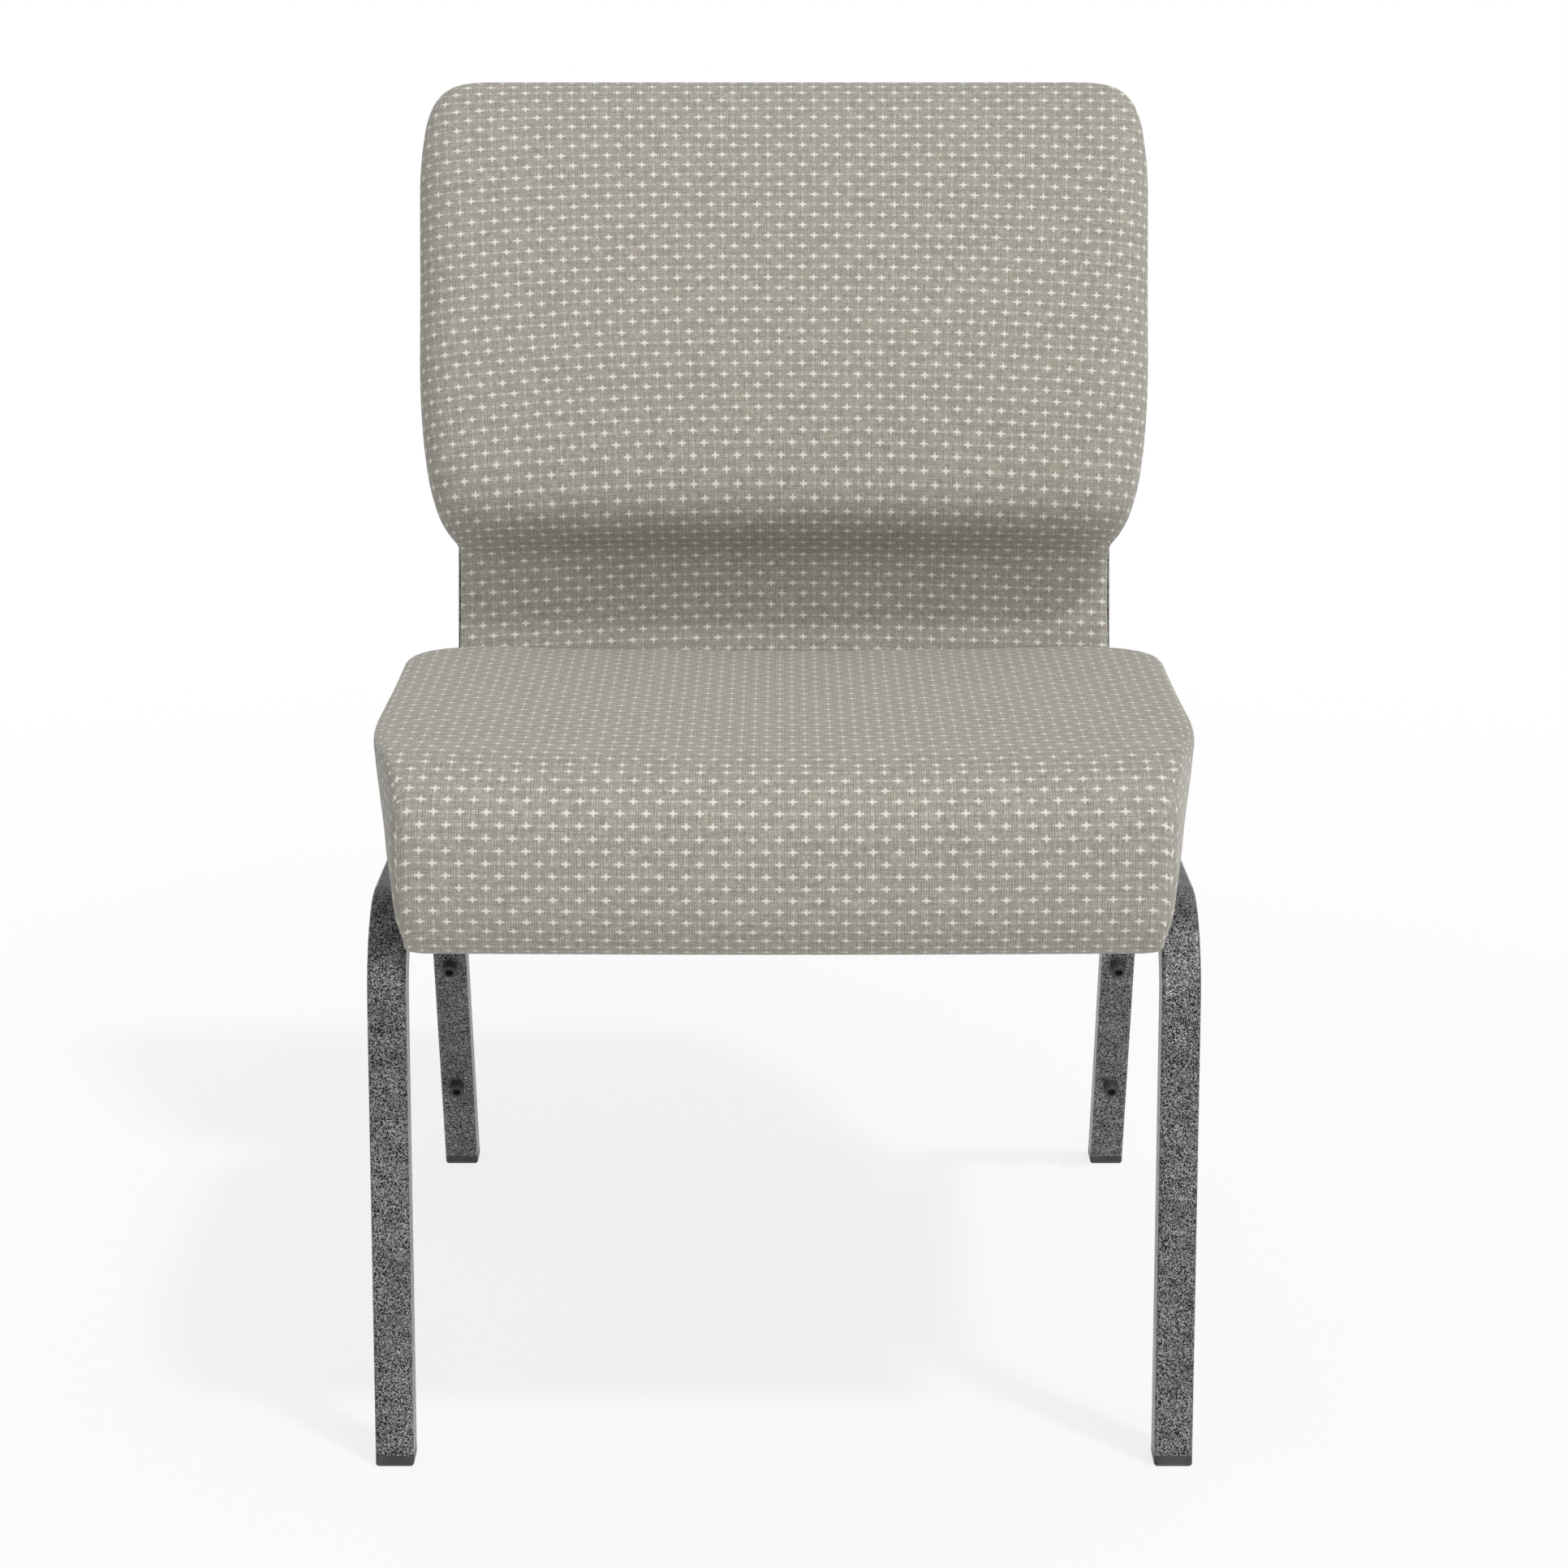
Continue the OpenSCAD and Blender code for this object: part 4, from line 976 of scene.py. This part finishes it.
def swept(path, radii, sides=8, closed=False, normal=(0, 0, 1)):
    """A rod along a path, as points and faces; its section is round and its radius may change"""
    path, count = np.asarray(path, float), len(path)
    ahead = np.roll(path, -1, axis=0) - np.roll(path, 1, axis=0)
    if not closed:
        ahead[0], ahead[-1] = path[1] - path[0], path[-1] - path[-2]
    ahead /= np.linalg.norm(ahead, axis=1)[:, None]
    side = np.cross(ahead, normal)
    side /= np.linalg.norm(side, axis=1)[:, None]
    up = np.cross(side, ahead)
    turn = np.linspace(0, 2 * np.pi, sides, endpoint=False)
    ring = side[:, None] * np.cos(turn)[None, :, None] + up[:, None] * np.sin(turn)[None, :, None]
    points = path[:, None] + ring * np.asarray(radii, float)[:, None, None]
    faces = []
    for i in range(count if closed else count - 1):
        a, b = i * sides, (i + 1) % count * sides
        for k in range(sides):
            faces.append((a + k, b + k, b + (k + 1) % sides, a + (k + 1) % sides))
    if not closed:
        faces += [tuple(range(sides)), tuple((count - 1) * sides + k for k in range(sides))[::-1]]
    return points.reshape(-1, 3), faces


def gather(parts):
    """Points and faces of several parts as those of one mesh"""
    points, faces, start = [], [], 0
    for part_points, part_faces in parts:
        points.append(part_points)
        faces += [tuple(start + k for k in face) for face in part_faces]
        start += len(part_points)
    return np.concatenate(points), faces


def make_staples():
    line, _ = dust_line(DUST_MARGIN + STAPLE_INSET)
    outline = np.r_[line, (line[::-1] * [-1, 1])[1:]]
    along = lengths_along(outline)
    crown = [(-5.0, 0.5), (-4.9, -0.15), (-4.4, -0.42), (0, -0.5), (4.4, -0.42), (4.9, -0.15), (5.0, 0.5)]
    parts = []
    count = int(along[-1] / STAPLE_GAP)
    for k in range(count):
        at = (k + 0.5) / count * along[-1] + 5 * math.sin(k * 2.3)
        x, u = [np.interp(at, along, outline[:, i]) for i in (0, 1)]
        if min(abs(u - bar) for bar in BAR_PLACES) < BAR_W / 2 + 7:
            continue
        ahead = [np.interp(at + 3, along, outline[:, i]) - value for i, value in ((0, x), (1, u))]
        angle = math.atan2(ahead[1], ahead[0]) + 0.12 * math.sin(k * 5.1)
        path = [(x + s * math.cos(angle), u + s * math.sin(angle), BAR_TOP + w) for s, w in crown]
        parts.append(swept(path, [0.45] * len(path), 6, normal=(math.sin(angle), -math.cos(angle), 0)))
    points, faces = gather(parts)
    return new_piece("staples", from_seat(points), faces, screw_zinc, slot="zinc")


# Weld beads: rippled fillets round the ends of the crossbars and the feet of the hoop
BEAD_R = 1.9
RIPPLE_GAP = 2.3


def bead(corners, closed):
    path = np.array(corners + corners[:1] if closed else corners, float)
    along = lengths_along(path)
    count = int(along[-1] / 0.75)
    at = np.linspace(0, along[-1], count, endpoint=not closed)
    line = np.stack([np.interp(at, along, path[:, k]) for k in range(3)], 1)
    for _ in range(2):
        ahead, behind = np.roll(line, -1, axis=0), np.roll(line, 1, axis=0)
        eased = (ahead + behind + 2 * line) / 4
        line = eased if closed else np.r_[line[:1], eased[1:-1], line[-1:]]
    ripple = 0.22 * abs(np.sin(np.pi * at / RIPPLE_GAP)) + 0.12 * np.sin(at * 0.83)
    radii = BEAD_R + ripple
    if not closed:
        radii *= ease(0.35 + np.minimum(at, at[-1] - at) / 3)
    return swept(line, radii, 8, closed, (1, 0.02, 0.03) if abs(np.ptp(path[:, 0])) < 1 else (0, 0.02, 1))


def make_welds():
    parts = []
    half = TUBE / 2
    for side in (-1, 1):
        x = side * (INNER_X - 0.4)
        for u in BAR_PLACES:
            a, b = u - BAR_W / 2, u + BAR_W / 2
            low, high = 0.6 - half, BAR_TOP - 0.8
            parts.append(bead([(x, a, high), (x, a, low), (x, b, low), (x, b, high)], False))
        a, b = REAR_BAR_U - half + 0.5, REAR_BAR_U + half - 0.5
        low, high = 0.5 - half, half - 0.5
        parts.append(bead([(x, a, low), (x, b, low), (x, b, high), (x, a, high)], True))
        near, far = side * HOOP_X - HOOP_TUBE / 2, side * HOOP_X + HOOP_TUBE / 2
        a, b = REAR_BAR_U - HOOP_TUBE / 2, REAR_BAR_U + HOOP_TUBE / 2
        parts.append(bead([(near, a, half), (far, a, half), (far, b, half), (near, b, half)], True))
    points, faces = gather(parts)
    return new_piece("weld_beads", from_seat(points), faces, frame_paint, slot="frame_finish")


seat_cushion = make_seat()
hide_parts("seat_cover", "seat_foam")
back_cushion = make_back()
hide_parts("back_cover", "back_pad_foam", "back_panel_foam")
outer_back, outer_area = make_outer_back()
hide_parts("outer_back_cover")
dust, dust_area = make_dust_cloth()
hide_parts("seat_dust_cover")
staples = make_staples()
make_welds()

# Studio
FLOOR_HALF = 40.0
FLOOR_CORNERS = [(x * FLOOR_HALF, y * FLOOR_HALF, 0) for x, y in ((-1, -1), (1, -1), (1, 1), (-1, 1))]
SUN_STRENGTH = 1.5
SUN_ANGLE = math.radians(6)
SUN_DIRECTION = (-0.40, 0.41, -1.0)
EYE = (0, -2.7559, 1.1088)
LOOK_DOWN = 14.67
LENS = 94.1


def studio_floor():
    f = Finish("studio_floor")
    x, y, _ = f.split(f.place())
    away = (x * x + y * y).math("SQRT")
    seen = f.node("ShaderNodeLightPath", out="Is Camera Ray")
    shown = seen.most(f.other(seen, "Is Glossy Ray")).most(f.other(seen, "Is Transmission Ray"))
    pale = f.node("ShaderNodeBsdfDiffuse", {}, {"Color": srgb(230, 230, 230)})
    white = f.node("ShaderNodeEmission", {}, {"Color": (1, 1, 1, 1), "Strength": 1.0})
    mixed = f.node("ShaderNodeMixShader", {}, {0: shown * away.fade(0.45, 2.2, 0.80, 1.0), 1: pale, 2: white})
    f.show(mixed)
    return f.material


mesh = bpy.data.meshes.new("floor")
mesh.from_pydata(FLOOR_CORNERS, [], [(0, 1, 2, 3)])
mesh.materials.append(studio_floor())
floor = bpy.data.objects.new("floor", mesh)
bpy.context.scene.collection.objects.link(floor)


def studio_sky():
    """Even light, a little stronger low down and on the right, with a soft box before the chair.

    The soft box is not seen in the photo. It is there to lighten the back's lower panel."""
    world = bpy.data.worlds.new("studio_sky")
    world.use_nodes = True
    bpy.context.scene.world = world
    f = Finish("studio_sky", world.node_tree)
    toward = f.node("ShaderNodeTexCoord", out="Generated")
    x, y, z = f.split(toward)
    low = (1 - z).power(2.0)
    box = (x * 0.2 - y * 0.87 + z * 0.45).fade(0.90, 0.965)
    strength = 0.49 + low * 0.12 + x * 0.13 + box * 2.3
    sky = f.node("ShaderNodeBackground", {}, {"Color": (1, 1, 1, 1), "Strength": strength})
    f.show(sky, "ShaderNodeOutputWorld")


studio_sky()
sun = bpy.data.lights.new("key", "SUN")
sun.energy = SUN_STRENGTH
sun.angle = SUN_ANGLE
key = bpy.data.objects.new("key", sun)
key.rotation_euler = Vector(SUN_DIRECTION).to_track_quat("-Z", "Y").to_euler()
bpy.context.scene.collection.objects.link(key)

camera = bpy.data.cameras.new("camera")
camera.sensor_width = 36
camera.lens = LENS
camera.clip_end = 100
eye = bpy.data.objects.new("camera", camera)
eye.location = EYE
eye.rotation_euler = (math.radians(90 - LOOK_DOWN), 0, 0)
bpy.context.scene.collection.objects.link(eye)
bpy.context.scene.camera = eye
bpy.context.scene.view_settings.view_transform = "Standard"
